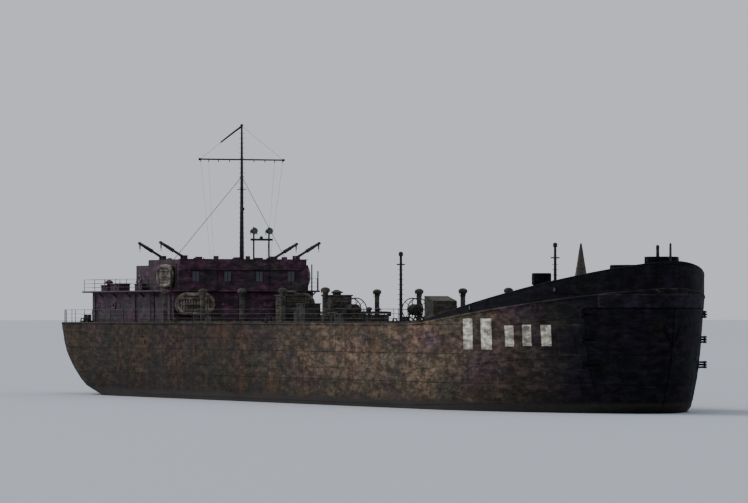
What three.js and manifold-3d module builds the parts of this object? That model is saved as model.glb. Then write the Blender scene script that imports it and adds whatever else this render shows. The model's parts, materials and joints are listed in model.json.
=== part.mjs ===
import * as THREE from 'three';
import { mergeVertices } from 'three/addons/utils/BufferGeometryUtils.js';
import Module from 'manifold-3d';

const wasm = await Module();
wasm.setup();

// A tank landing ship at a scale of 1:10, in millimetres.
// +X is the bow, +Y is port, and z = 0 is the flat bottom.
// A length called s runs aft from the stem. A half is measured from the middle line.

// Hull
const hullLength = 10000;
const hullHalf = 762;
const deckHeight = 767;
const sheerLength = 2400;
const sheerPower = 1.1;
const stemDeckRise = 225;
const stemTopRise = 390;
const plate = 10;
const sternRiseStart = 7600;
const sternRise = 330;
const sternRisePower = 1.2;
const middleStations = [2420, 3000, 5200, 7000, 7600, 8100, 8600];
const hullJoint = 3000;
const deckJoints = [-780, 140];
// rise is the share of the hull's depth, stem and stern how far the waterline is set back from each end,
// entrance and run the lengths over which it widens and closes, power how fine its ends are.
const waterlines = [
  { rise: 0.0, stem: 900, entrance: 1500, half: 700, stern: 160, run: 1150, power: 1.2 },
  { rise: 0.05, stem: 720, entrance: 1600, half: 748, stern: 110, run: 1120, power: 1.22 },
  { rise: 0.13, stem: 430, entrance: 1850, half: hullHalf, stern: 70, run: 1050, power: 1.28 },
  { rise: 0.26, stem: 180, entrance: 2020, half: hullHalf, stern: 40, run: 900, power: 1.28 },
  { rise: 0.52, stem: 70, entrance: 2080, half: hullHalf, stern: 15, run: 700, power: 1.25 },
  { rise: 0.78, stem: 30, entrance: 2080, half: hullHalf, stern: 5, run: 620, power: 1.23 },
  { rise: 1.0, stem: 0, entrance: 2090, half: hullHalf, stern: 0, run: 580, power: 1.22 },
];
const bulwark = { thick: 12, aft: 2700, least: 2 };

// Facets, clearance, and a length beyond the whole hull
const bowSteps = 10;
const sternSteps = 8;
const pinSides = 10;
const gap = 0.3;
const far = hullLength;

// Tank deck, open to the bow; its floor stands a step above the foot of the wing walls
const tankDeck = {
  floor: 370, half: 450, fore: 3900, aft: -3000,
  neckFore: 4440, neckAft: 4200, neckHalf: 215,
};
const floorStep = 10;

// Bow doors: the opening, the thickness of the panels, and ribs that reach deeper inside
const door = {
  aft: 4540, bottom: 160, top: 868, gap: 5, skin: 30,
  ribDepth: 70, ribHeight: 16, ribs: [380, 640],
};
// The leaves reach from the hinge line into the hull and into the door
const doorHinge = {
  x: 4543, y: 428, radius: 7, knuckles: [500, 660, 820], leaf: 12, eye: 15, between: 4, pocket: 6,
  hullReach: 70, hullDepth: 40, doorReach: 75, doorDepth: 14, width: 0.9,
};
const ramp = {
  x: 4456, z: 352, half: 194, length: 500, thick: 22, lean: 80, pin: 8, pinReach: 16,
  cheek: 16, cheekClear: 9, cheekIn: 20,
};

// Superstructure
const wall = 10;
const lowerHouse = { fore: -2460, aft: -4300, half: 570, bottom: deckHeight, top: 1000 };
const boatDeck = { fore: -2430, aft: -4420, half: 610, thick: 10 };
const upperHouse = { fore: -2460, aft: -3400, half: 530, top: 1205 };
const shield = { fore: -2466, aft: -3160, half: 518, height: 42, thick: 8 };
const houseWindow = { width: 60, height: 75, sill: 1080, places: [-390, -130, 130, 390] };
const houseDoor = {
  x: -2920, width: 78, height: 180, sill: 20, clear: 5, hingeClear: 7, thick: 8,
  pin: 2.5, pinOut: 3, pinBeyond: 14, lugHalf: 7, lugHeight: 10, lugGap: 6, lugIn: 4,
};

// Mast, stays and signal lamps
const mast = { x: -2505, foot: 18, head: 7, top: 2280, yard: 2010, yardHalf: 350, yardRadius: 6 };
const stay = { radius: 2.2, height: 1880, reach: 490, spread: 260 };
const lamp = {
  x: -2535, places: [110, 235], top: 1490, radius: 24, half: 24, taper: 0.8, post: 7,
  bar: 1400, rod: 5,
};

// Davits, four arms that swing outboard
const davit = {
  stations: { fore: -2535, aft: -3000 }, hinge: 460, height: 1262,
  tipReach: 190, tipRise: 112, arm: 11, taper: 0.7, pin: 7, eye: 15, eyeHalf: 12,
  cheekIn: 18, cheekOut: 34, cheekHalf: 18, baseHalf: 40, baseThick: 12, over: 16,
};
const fallBlock = { inboard: 4, over: 4, drop: 46, top: 7, foot: 5 };

// Screws and rudders
const screw = {
  x: -4150, y: 290, z: 135, radius: 106, hub: 22, hubLength: 70,
  shaft: 12, shaftIn: 50, blades: 3,
};
const blade = { root: 14, half: 40, thick: 6, pitch: 0.32 };
const skeg = { fore: -2500, aft: -4080, half: 26, bottom: 8, top: 300, rise: 6 };
const boss = { length: 420, fore: 44, aft: 30 };
const rudder = {
  x: -4450, chord: 170, ahead: 62, bottom: 42, top: 282, thick: 26, nose: 25, widest: 10, tail: 2,
  stock: 14, stockTop: 360,
};

// Cargo hatch: a coaming with a leaf each side, hinged outboard of it
const hatch = { fore: -80, aft: -560, half: 180, coaming: 60, thick: 12, leaf: 12, pin: 4 };
const hatchHinge = {
  out: 8, over: 12, lugIn: 10, lugOut: 9, lugDown: 26, pinShort: 2, leafEnd: 8, leafSide: 3, leafMiddle: 2.5,
};

// Gunwale strip with ventilators standing on it
const gunwale = { inset: 46, width: 34, height: 12, fore: 2580, aft: -2800 };
const vent = {
  stations: [900, 100, -700, -1500, -2300], height: 250, pipe: 18, cap: 32, capHeight: 28,
  crown: 12,
};

const bitt = { footLength: 150, footHalf: 22, footHeight: 12, height: 60, radius: 15, apart: 90, sunk: 40 };
const bittPlaces = [
  { name: 'bow_bitts', x: 3700, y: 560 },
  { name: 'stern_bitts', x: -4560, y: 520 },
];

// Gear on the forecastle
const bowTub = { x: 4485, foot: 110, radius: 190, floor: 1035, top: 1135 };
const bowLookout = { x: 4795, foot: 60, radius: 105, floor: 1100, top: 1185 };
const postFoot = deckHeight - 60;
const postCap = { height: 26, under: 4, width: 1.8 };
const posts = [
  { name: 'jackstaff', x: 4925, foot: 7, head: 4, top: 1275, from: postFoot },
  { name: 'anchor_light_post', x: 4742, foot: 9, head: 6, top: 1265, from: bowLookout.floor + gap },
  { name: 'bow_signal_post', x: 3200, foot: 14, head: 8, top: 1300, from: postFoot },
  { name: 'midships_signal_post', x: 600, foot: 13, head: 9, top: 1270, from: postFoot },
];
const cover = {
  x: 3600, radius: 72, shoulder: 945, neck: 52, neckRise: 60, throat: 22, throatDrop: 110, end: 5, top: 1290,
};
const capstan = {
  x: 4020, deck: 884, base: 62, baseRise: 14, waist: 34, waistRise: 26, headFoot: 74, head: 54, headRise: 90,
  rim: 106, crown: 112,
};
const locker = { fore: 3080, aft: 2960, half: 100, top: 880, sunk: 20 };

// Oval life rafts that stand off the walls of the houses; turn brings their outward side round
const raftStand = 12;
const rafts = {
  long: 330, short: 180, tube: 34, floor: 8, floorInset: 10, chock: 16, chockIn: 10, arcs: 5,
  places: [
    { name: 'life_raft_fore_port', turn: Math.PI / 2, x: lowerHouse.fore + raftStand, y: 410, z: 905 },
    { name: 'life_raft_fore_starboard', turn: Math.PI / 2, x: lowerHouse.fore + raftStand, y: -410, z: 905 },
    { name: 'life_raft_side_port', turn: Math.PI, x: -2680, y: upperHouse.half + raftStand, z: 1120 },
    { name: 'life_raft_side_starboard', turn: 0, x: -2680, y: -upperHouse.half - raftStand, z: 1120 },
  ],
};

// Stern gear
const sternTub = { x: -4120, radius: 170, floor: 1020.3, top: 1125 };
const winch = {
  x: -4640, half: 90, height: 830, radius: 34, flange: 48, axle: 9,
  barrelShort: 6, flangeIn: 7, flangeOut: 1.5, axleOut: 18,
  cheek: 34, cheekOut: 12, cheekHalf: 8, cheekOver: 20, bed: 60, bedOut: 20, bedThick: 14,
};
const anchorRack = { x: -4905, top: 960, postHalf: 8, postApart: 50, postDeep: 12, beam: 18 };
const anchor = {
  crown: 800, crownHalf: 60, crownFore: 18, crownHeight: 22, stockFore: 12.3, stockAft: 46, stockHalf: 9,
  stockTop: 2, stockBottom: 16, shankFore: 24, shankAft: 40, shankTop: 4,
  fluke: 90, flukeHalf: 13, flukeApart: 46, flukeTip: 36, flukeFore: 28,
};

const paint = {
  hull: { color: 0x4b4237, roughness: 0.82, metalness: 0.2 },
  bow: { color: 0x26222a, roughness: 0.8, metalness: 0.2 },
  deck: { color: 0x3f3b38, roughness: 0.9, metalness: 0.1 },
  house: { color: 0x3d3039, roughness: 0.85, metalness: 0.1 },
  spar: { color: 0x1c1b1f, roughness: 0.7, metalness: 0.3 },
  gear: { color: 0x2e2a2a, roughness: 0.75, metalness: 0.5 },
  raft: { color: 0xa89e8c, roughness: 0.9, metalness: 0.0 },
  canvas: { color: 0x4a4838, roughness: 0.95, metalness: 0.0 },
  bronze: { color: 0x8a6a35, roughness: 0.4, metalness: 0.9 },
};

function toSolid(geometry) {
  const bare = geometry.index ? geometry.toNonIndexed() : geometry.clone();
  bare.deleteAttribute('normal');
  bare.deleteAttribute('uv');
  const merged = mergeVertices(bare, 1e-3);
  return new wasm.Manifold(new wasm.Mesh({
    numProp: 3,
    vertProperties: new Float32Array(merged.attributes.position.array),
    triVerts: new Uint32Array(merged.index.array),
  }));
}

function toGeometry(solid) {
  const mesh = solid.getMesh();
  const geometry = new THREE.BufferGeometry();
  geometry.setAttribute('position', new THREE.BufferAttribute(mesh.vertProperties, 3));
  geometry.setIndex(new THREE.BufferAttribute(mesh.triVerts, 1));
  geometry.computeVertexNormals();
  return geometry;
}

function box(x0, x1, y0, y1, z0, z1) {
  const geometry = new THREE.BoxGeometry(x1 - x0, y1 - y0, z1 - z0);
  geometry.translate((x0 + x1) / 2, (y0 + y1) / 2, (z0 + z1) / 2);
  return toSolid(geometry);
}

// A round bar between two points, its end radii given in that order.
function bar(from, to, radius, endRadius = radius, sides = 12) {
  const start = new THREE.Vector3(...from);
  const run = new THREE.Vector3(...to).sub(start);
  const geometry = new THREE.CylinderGeometry(endRadius, radius, run.length(), sides);
  geometry.applyQuaternion(new THREE.Quaternion().setFromUnitVectors(
    new THREE.Vector3(0, 1, 0), run.clone().normalize()));
  geometry.translate(...start.addScaledVector(run, 0.5).toArray());
  return toSolid(geometry);
}

function pinBar(from, to, radius) {
  return bar(from, to, radius, radius, pinSides);
}

// A hole that a pin of this radius turns in freely.
function bore(from, to, radius) {
  return pinBar(from, to, (radius + gap) / Math.cos(Math.PI / pinSides));
}

function lathe(x, y, profile, sides = 24) {
  const points = profile.map(([radius, height]) => new THREE.Vector2(radius, height));
  const geometry = new THREE.LatheGeometry(points, sides);
  geometry.rotateX(Math.PI / 2);
  geometry.translate(x, y, 0);
  return toSolid(geometry);
}

// A flat shape of [x, y] points raised from z0 to z1.
function slab(points, z0, z1) {
  const shape = new THREE.Shape(points.map(([x, y]) => new THREE.Vector2(x, y)));
  const geometry = new THREE.ExtrudeGeometry(shape, { depth: z1 - z0, bevelEnabled: false });
  geometry.translate(0, 0, z0);
  return toSolid(geometry);
}

// A side profile of [x, z] points, as wide as from y0 to y1.
function profileSlab(points, y0, y1) {
  const shape = new THREE.Shape(points.map(([x, z]) => new THREE.Vector2(x, z)));
  const geometry = new THREE.ExtrudeGeometry(shape, { depth: y1 - y0, bevelEnabled: false });
  geometry.rotateX(Math.PI / 2);
  geometry.translate(0, y1, 0);
  return toSolid(geometry);
}

function union(solids) {
  return solids.reduce((whole, solid) => whole.add(solid));
}

function mirrored(solid) {
  return solid.mirror([0, 1, 0]);
}

const sheerShare = (s) => Math.max(0, (sheerLength - s) / sheerLength) ** sheerPower;
const deckLine = (s) => deckHeight + stemDeckRise * sheerShare(s);
const railLine = (s) => deckHeight + stemTopRise * sheerShare(s);
const bottomLine = (s) => {
  const along = Math.max(0, (s - sternRiseStart) / (hullLength - sternRiseStart));
  return sternRise * Math.sin(Math.min(1, along) * Math.PI / 2) ** sternRisePower;
};

// The starboard half of a waterline, as [s, half breadth] from stem to stern.
function halfWaterline(line, inset) {
  const points = [];
  const half = line.half - inset;
  for (let i = 0; i <= bowSteps; i++) {
    const angle = (i / bowSteps) * Math.PI / 2;
    const s = line.stem + inset + (line.entrance - inset) * (1 - Math.cos(angle));
    points.push([s, half * Math.sin(angle) ** line.power]);
  }
  middleStations.forEach((s) => points.push([s, half]));
  for (let i = sternSteps; i >= 0; i--) {
    const angle = (i / sternSteps) * Math.PI / 2;
    const s = hullLength - line.stern - inset - (line.run - inset) * (1 - Math.cos(angle));
    points.push([s, half * Math.sin(angle) ** line.power]);
  }
  points[0][1] = 0;
  points[points.length - 1][1] = 0;
  return points;
}

// A closed body through a stack of waterlines; each level gives its line and its height over s.
function loft(levels, inset = 0) {
  const halves = levels.map((level) => halfWaterline(level.line, inset));
  const last = halves[0].length - 1;
  const ringSize = 2 * last;
  const positions = [];
  halves.forEach((half, k) => {
    for (let i = 0; i < ringSize; i++) {
      const [s, breadth] = i <= last ? half[i] : half[ringSize - i];
      positions.push(hullLength / 2 - s, i <= last ? -breadth : breadth, levels[k].height(s));
    }
  });
  const at = (k, i) => k * ringSize + (i % ringSize);
  const index = [];
  for (let k = 0; k + 1 < levels.length; k++) {
    for (let i = 0; i < ringSize; i++) {
      index.push(at(k, i), at(k + 1, i), at(k + 1, i + 1));
      index.push(at(k, i), at(k + 1, i + 1), at(k, i + 1));
    }
  }
  const top = levels.length - 1;
  for (let i = 0; i < last; i++) {
    const [a, b, c, d] = [i, ringSize - i, ringSize - i - 1, i + 1];
    if (i > 0) {
      index.push(at(top, a), at(top, b), at(top, c));
      index.push(at(0, a), at(0, c), at(0, b));
    }
    if (i + 1 < last) {
      index.push(at(top, a), at(top, c), at(top, d));
      index.push(at(0, a), at(0, d), at(0, c));
    }
  }
  const geometry = new THREE.BufferGeometry();
  geometry.setAttribute('position', new THREE.Float32BufferAttribute(positions, 3));
  geometry.setIndex(index);
  return toSolid(geometry);
}

const deckWaterline = waterlines[waterlines.length - 1];

function hullBody(inset = 0) {
  return loft(waterlines.map((line) => ({
    line,
    height: (s) => bottomLine(s) + line.rise * (deckLine(s) - plate - bottomLine(s)),
  })), inset);
}

// A body between two heights over the deck's own outline.
function deckBody(lower, upper, inset = 0) {
  return loft([{ line: deckWaterline, height: lower }, { line: deckWaterline, height: upper }], inset);
}

// Half breadth of the shell at a place near the bow, between the two nearest waterlines.
function shellHalf(x, z) {
  const s = hullLength / 2 - x;
  const share = (z - bottomLine(s)) / (deckLine(s) - plate - bottomLine(s));
  const above = Math.max(1, waterlines.findIndex((line) => line.rise >= share));
  const pair = [waterlines[above - 1], waterlines[above]];
  const halves = pair.map((line) => {
    const along = Math.max(0, 1 - (s - line.stem) / line.entrance);
    return line.half * Math.sqrt(1 - Math.min(1, along) ** 2) ** line.power;
  });
  const mix = (share - pair[0].rise) / (pair[1].rise - pair[0].rise);
  return halves[0] + mix * (halves[1] - halves[0]);
}

// The space across the whole ship between two places, half a gap short at each end.
function lengthBetween(aft, fore) {
  return box(aft + gap / 2, fore - gap / 2, -far, far, -far, far);
}

const root = new THREE.Group();

function place(name, solid, finish) {
  const mesh = new THREE.Mesh(toGeometry(solid), new THREE.MeshStandardMaterial(paint[finish]));
  mesh.name = name;
  root.add(mesh);
}

function placeBothSides(name, portSolid, finish) {
  place(`${name}_port`, portSolid, finish);
  place(`${name}_starboard`, mirrored(portSolid), finish);
}

const hull = hullBody();

// Everything below the decks, taken from the foot of what stands on their slope
const underDeck = deckBody(() => -far, (s) => deckLine(s) + gap);

function standOnDeck(solid) {
  return solid.subtract(underDeck);
}

// A flat hinge leaf from the hinge line of the port bow door to a point in the shell.
function hingeLeaf(tip, z0, z1) {
  const { x, y, eye, width } = doorHinge;
  const dx = tip[0] - x;
  const dy = tip[1] - y;
  const scale = eye * width / Math.hypot(dx, dy);
  const side = [-dy * scale, dx * scale];
  const arm = slab([
    [x + side[0], y + side[1]],
    [x - side[0], y - side[1]],
    [tip[0] - side[0], tip[1] - side[1]],
    [tip[0] + side[0], tip[1] + side[1]],
  ], z0, z1);
  return pinBar([x, y, z0], [x, y, z1], eye).add(arm);
}

// Room around each knuckle of the port bow door
const hingePockets = union(doorHinge.knuckles.map((z) => pinBar(
  [doorHinge.x, doorHinge.y, z - 2 * doorHinge.leaf], [doorHinge.x, doorHinge.y, z + 3 * doorHinge.leaf],
  doorHinge.eye + doorHinge.pocket)));

function makeHull() {
  const { floor, half, fore, aft, neckFore, neckAft, neckHalf } = tankDeck;
  const trough = union([
    box(aft, fore, -half, half, floor, far),
    slab([
      [fore - 1, -half], [neckAft, -neckHalf], [neckFore, -neckHalf],
      [neckFore, neckHalf], [neckAft, neckHalf], [fore - 1, half],
    ], floor, far),
  ]);
  const doorway = union([
    box(door.aft, far, -far, far, door.bottom, door.top),
    box(neckFore - 1, far, -neckHalf, neckHalf, door.bottom, door.top),
  ]);
  const knuckles = doorHinge.knuckles.map((z) => {
    const { x, y, leaf, hullReach, hullDepth, radius } = doorHinge;
    const tipX = door.aft - hullReach;
    return hingeLeaf([tipX, shellHalf(tipX, z) - hullDepth], z, z + leaf)
      .subtract(bore([x, y, z - leaf], [x, y, z + 2 * leaf], radius));
  });
  const cheek = box(ramp.x - ramp.cheek, ramp.x + ramp.cheek, ramp.half + ramp.cheekClear,
    neckHalf + ramp.cheekIn, ramp.z - ramp.cheek, ramp.z + ramp.cheek);
  const rampBore = bore([ramp.x, -neckHalf - 2, ramp.z], [ramp.x, neckHalf + 2, ramp.z], ramp.pin);
  const bowShell = hull.intersect(lengthBetween(hullJoint, far))
    .subtract(trough).subtract(doorway).subtract(hingePockets).subtract(mirrored(hingePockets));
  const portFittings = union([...knuckles, cheek]);
  place('hull_bow', union([bowShell, portFittings, mirrored(portFittings)]).subtract(rampBore), 'hull');

  const middle = hull.intersect(lengthBetween(-hullJoint, hullJoint));
  const wallFoot = floor - floorStep;
  place('hull_bottom', middle.intersect(union([
    box(-far, far, -far, far, -far, wallFoot),
    box(-far, far, -half + gap, half - gap, 0, floor),
  ])), 'hull');
  placeBothSides('wing_wall', middle.intersect(box(-far, far, half, far, wallFoot + gap, far)), 'hull');

  const skegs = [-screw.y, screw.y].map((y) => {
    const fin = profileSlab([
      [skeg.aft, skeg.bottom + skeg.rise], [skeg.aft, skeg.top],
      [skeg.fore, skeg.top], [skeg.fore, skeg.bottom],
    ], y - skeg.half, y + skeg.half);
    const shaftTube = bar([skeg.aft + boss.length, y, screw.z], [skeg.aft, y, screw.z], boss.fore, boss.aft,
      pinSides);
    return fin.add(shaftTube);
  });
  const bores = [-screw.y, screw.y].flatMap((y) => [
    bore([skeg.aft + screw.shaftIn + plate, y, screw.z], [skeg.aft - plate, y, screw.z], screw.shaft),
    bore([rudder.x, y, 0], [rudder.x, y, rudder.stockTop + 1], rudder.stock),
  ]);
  const stern = hull.add(union(skegs)).intersect(lengthBetween(-far, -hullJoint));
  place('hull_stern', stern.subtract(union(bores)), 'hull');
}

function makeDecks() {
  const plating = deckBody((s) => deckLine(s) - plate + gap, deckLine);
  const opening = box(hatch.aft, hatch.fore, -hatch.half, hatch.half, 0, far);
  place('main_deck_aft', plating.intersect(lengthBetween(-far, deckJoints[0])), 'deck');
  place('main_deck_middle', plating.intersect(lengthBetween(...deckJoints)).subtract(opening), 'deck');
  place('main_deck_fore', plating.intersect(lengthBetween(deckJoints[1], hullJoint)), 'deck');
  place('forecastle_deck', plating.intersect(lengthBetween(hullJoint, far)), 'deck');
  const outer = deckBody((s) => deckLine(s) + gap,
    (s) => Math.max(railLine(s), deckLine(s) + bulwark.least));
  const inner = deckBody((s) => deckLine(s) - plate, (s) => railLine(s) + plate, bulwark.thick);
  place('bulwark', outer.subtract(inner).intersect(box(bulwark.aft, far, -far, far, -far, far)), 'bow');
}

function makeBowDoors() {
  const { x, y, leaf, between } = doorHinge;
  const zone = box(door.aft + door.gap, far, door.gap / 2, far, door.bottom + door.gap, door.top - door.gap);
  const shell = hull.subtract(hullBody(door.skin));
  const frames = hull.subtract(hullBody(door.ribDepth));
  const ribs = door.ribs.map((z) => frames.intersect(box(-far, far, -far, far, z, z + door.ribHeight)));
  const tipX = door.aft + doorHinge.doorReach;
  const leaves = doorHinge.knuckles.flatMap((z) => {
    const tip = [tipX, shellHalf(tipX, z) - doorHinge.doorDepth];
    const feet = [z - leaf - between, z + leaf + between];
    return feet.map((z0) => hingeLeaf(tip, z0, z0 + leaf));
  });
  const pinOver = leaf + between + 2;
  const pins = doorHinge.knuckles.map((z) => pinBar([x, y, z - pinOver], [x, y, z + leaf + pinOver],
    doorHinge.radius));
  const panel = shell.add(union(ribs)).intersect(zone).subtract(hingePockets);
  placeBothSides('bow_door', union([panel, ...leaves, ...pins]), 'bow');

  const lean = ramp.lean * Math.PI / 180;
  const half = ramp.thick / 2;
  const corner = (length, side) => [
    ramp.x + Math.cos(lean) * length - Math.sin(lean) * side * half,
    ramp.z + Math.sin(lean) * length + Math.cos(lean) * side * half,
  ];
  const plank = profileSlab([corner(ramp.length, 1), corner(ramp.length, -1), corner(0, -1), corner(0, 1)],
    -ramp.half, ramp.half);
  const roll = pinBar([ramp.x, -ramp.half, ramp.z], [ramp.x, ramp.half, ramp.z], half);
  const reach = ramp.half + ramp.pinReach;
  const pin = pinBar([ramp.x, -reach, ramp.z], [ramp.x, reach, ramp.z], ramp.pin);
  place('bow_ramp', union([plank, roll, pin]), 'gear');
}

// A round tub on a pedestal that runs down to the deck.
function pedestalTub({ x, foot, radius, floor, top }) {
  return standOnDeck(lathe(x, 0, [
    [0, deckHeight], [foot, deckHeight], [foot, floor - plate], [radius, floor - plate], [radius, top],
    [radius - plate, top], [radius - plate, floor], [0, floor],
  ]));
}

function makeBowGear() {
  place('bow_tub', pedestalTub(bowTub), 'bow');
  place('bow_lookout', pedestalTub(bowLookout), 'bow');
  posts.forEach(({ name, x, foot, head, top, from }) => {
    const post = bar([x, 0, from], [x, 0, top], foot, head, 10);
    const capTop = top - postCap.under;
    const cap = bar([x, 0, capTop - postCap.height], [x, 0, capTop], head * postCap.width, undefined, 10);
    place(name, standOnDeck(post.add(cap)), 'spar');
  });
  place('canvas_cover', standOnDeck(lathe(cover.x, 0, [
    [0, deckHeight], [cover.radius, deckHeight], [cover.radius, cover.shoulder],
    [cover.neck, cover.shoulder + cover.neckRise], [cover.throat, cover.top - cover.throatDrop],
    [cover.end, cover.top], [0, cover.top],
  ], 16)), 'canvas');
  place('capstan', standOnDeck(lathe(capstan.x, 0, [
    [0, deckHeight], [capstan.base, deckHeight], [capstan.base, capstan.deck + capstan.baseRise],
    [capstan.waist, capstan.deck + capstan.waistRise], [capstan.waist, capstan.deck + capstan.headFoot],
    [capstan.head, capstan.deck + capstan.headRise], [capstan.head, capstan.deck + capstan.rim],
    [0, capstan.deck + capstan.crown],
  ], 16)), 'gear');
  place('deck_locker', standOnDeck(box(locker.aft, locker.fore, -locker.half, locker.half,
    deckHeight - locker.sunk, locker.top)), 'house');
}

function makeDeckGear() {
  const z0 = deckHeight + gap;
  const edge = hatch.thick;
  const outer = hatch.half + edge;
  const rim = box(hatch.aft - edge, hatch.fore + edge, -outer, outer, z0, deckHeight + hatch.coaming)
    .subtract(box(hatch.aft, hatch.fore, -hatch.half, hatch.half, 0, far));
  const axisY = outer + hatchHinge.out;
  const axisZ = deckHeight + hatch.coaming + hatchHinge.over;
  const ends = [[hatch.aft - edge, hatch.aft + 2], [hatch.fore - 2, hatch.fore + edge]];
  const lugs = ends.map(([x0, x1]) => box(x0, x1, outer - hatchHinge.lugIn, axisY + hatchHinge.lugOut,
    axisZ - hatchHinge.lugDown, axisZ + hatchHinge.lugOut));
  const lugBore = bore([hatch.aft - edge - 1, axisY, axisZ], [hatch.fore + edge + 1, axisY, axisZ],
    hatch.pin);
  const portLugs = union(lugs).subtract(lugBore);
  place('hatch_coaming', union([rim, portLugs, mirrored(portLugs)]), 'deck');
  const pin = pinBar([hatch.aft - edge + hatchHinge.pinShort, axisY, axisZ],
    [hatch.fore + edge - hatchHinge.pinShort, axisY, axisZ], hatch.pin);
  const leaf = box(hatch.aft + hatchHinge.leafEnd, hatch.fore - hatchHinge.leafEnd, hatchHinge.leafMiddle,
    axisY - hatchHinge.leafSide, axisZ - hatch.leaf / 2, axisZ + hatch.leaf / 2);
  placeBothSides('hatch_cover', leaf.add(pin), 'deck');

  const outerY = hullHalf - gunwale.inset;
  const ventY = outerY - gunwale.width / 2;
  const strip = box(gunwale.aft, gunwale.fore, outerY - gunwale.width, outerY, z0,
    deckHeight + gunwale.height);
  const crown = deckHeight + vent.height;
  const capTop = crown - vent.crown;
  const capFoot = capTop - vent.capHeight;
  const vents = vent.stations.map((x) => lathe(x, ventY, [
    [0, z0], [vent.pipe, z0], [vent.pipe, capFoot], [vent.cap, capFoot], [vent.cap, capTop], [0, crown],
  ], 8));
  placeBothSides('deck_vents', union([strip, ...vents]), 'deck');

  bittPlaces.forEach(({ name, x, y }) => {
    const under = deckHeight - bitt.sunk;
    const deck = deckLine(hullLength / 2 - x);
    const foot = box(x - bitt.footLength / 2, x + bitt.footLength / 2, y - bitt.footHalf, y + bitt.footHalf,
      under, deck + bitt.footHeight);
    const bollards = [-1, 1].map((side) => x + side * bitt.apart / 2).map((postX) => bar(
      [postX, y, under], [postX, y, deck + bitt.height], bitt.radius));
    placeBothSides(name, standOnDeck(union([foot, ...bollards])), 'gear');
  });
}

// A box with walls and a roof, open below.
function room({ fore, aft, half, bottom, top }) {
  return box(aft, fore, -half, half, bottom + gap, top)
    .subtract(box(aft + wall, fore - wall, -half + wall, half - wall, 0, top - wall));
}

function makeHouses() {
  const { x, width, height, clear, hingeClear, thick, pin, lugHalf, lugGap, lugHeight, lugIn } = houseDoor;
  const sill = deckHeight + houseDoor.sill;
  const x0 = x - width / 2;
  const x1 = x + width / 2;
  const side = lowerHouse.half;
  const axis = [x1 - 1, side + houseDoor.pinOut];
  const doorway = box(x0 - clear, x1 + hingeClear, side - 3 * wall, side + 3 * wall, sill - clear,
    sill + height + clear);
  const lugFeet = [sill - lugGap - lugHeight, sill + height + lugGap];
  const lugs = union(lugFeet.map((z0) => box(axis[0] - lugHalf, axis[0] + lugHalf, side - lugIn,
    axis[1] + lugHalf, z0, z0 + lugHeight)));
  const pinEnds = [sill - houseDoor.pinBeyond, sill + height + houseDoor.pinBeyond];
  const cuts = doorway.add(bore([...axis, pinEnds[0] - lugGap], [...axis, pinEnds[1] + lugGap], pin));
  const house = union([room(lowerHouse), lugs, mirrored(lugs)]).subtract(cuts).subtract(mirrored(cuts));
  place('deckhouse', house, 'house');
  const leaf = box(x0, x1, side - thick, side, sill, sill + height);
  const hingeStrip = box(axis[0] - 2, axis[0] + 1, side - lugIn, axis[1] + 1, sill, sill + height);
  const pinPart = pinBar([...axis, pinEnds[0]], [...axis, pinEnds[1]], pin);
  placeBothSides('deckhouse_door', union([leaf, hingeStrip, pinPart]), 'house');

  const deckTop = lowerHouse.top + boatDeck.thick;
  place('boat_deck', box(boatDeck.aft, boatDeck.fore, -boatDeck.half, boatDeck.half, lowerHouse.top + gap,
    deckTop), 'deck');
  const windows = union(houseWindow.places.map((y) => box(upperHouse.fore - 4 * wall, upperHouse.fore + wall,
    y - houseWindow.width / 2, y + houseWindow.width / 2, houseWindow.sill,
    houseWindow.sill + houseWindow.height)));
  place('wheelhouse', room({ ...upperHouse, bottom: deckTop }).subtract(windows), 'house');
  const inside = shield.half - shield.thick;
  const guard = box(shield.aft, shield.fore, -shield.half, shield.half, upperHouse.top + gap,
    upperHouse.top + shield.height);
  const behindGuard = box(shield.aft - wall, shield.fore - shield.thick, -inside, inside, 0, far);
  place('bridge_shield', guard.subtract(behindGuard), 'house');
}

function makeMast() {
  const z0 = upperHouse.top + gap;
  const pole = bar([mast.x, 0, z0], [mast.x, 0, mast.top], mast.foot, mast.head);
  const yard = bar([mast.x, -mast.yardHalf, mast.yard], [mast.x, mast.yardHalf, mast.yard], mast.yardRadius,
    undefined, 8);
  const stays = [-1, 1].map((side) => bar([mast.x, 0, stay.height],
    [mast.x - stay.spread, side * stay.reach, z0 + stay.radius], stay.radius, undefined, 6));
  place('mast', union([pole, yard, ...stays]), 'spar');

  const axis = lamp.top - lamp.radius;
  const lamps = lamp.places.flatMap((y) => [
    bar([lamp.x, y, z0], [lamp.x, y, axis], lamp.post, undefined, 8),
    bar([lamp.x - lamp.half, y, axis], [lamp.x + lamp.half, y, axis], lamp.radius * lamp.taper, lamp.radius),
  ]);
  const [inboard, outboard] = lamp.places;
  const across = bar([lamp.x, inboard, lamp.bar], [lamp.x, outboard, lamp.bar], lamp.rod, undefined, 8);
  place('signal_lamps', union([...lamps, across]), 'spar');
}

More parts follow.
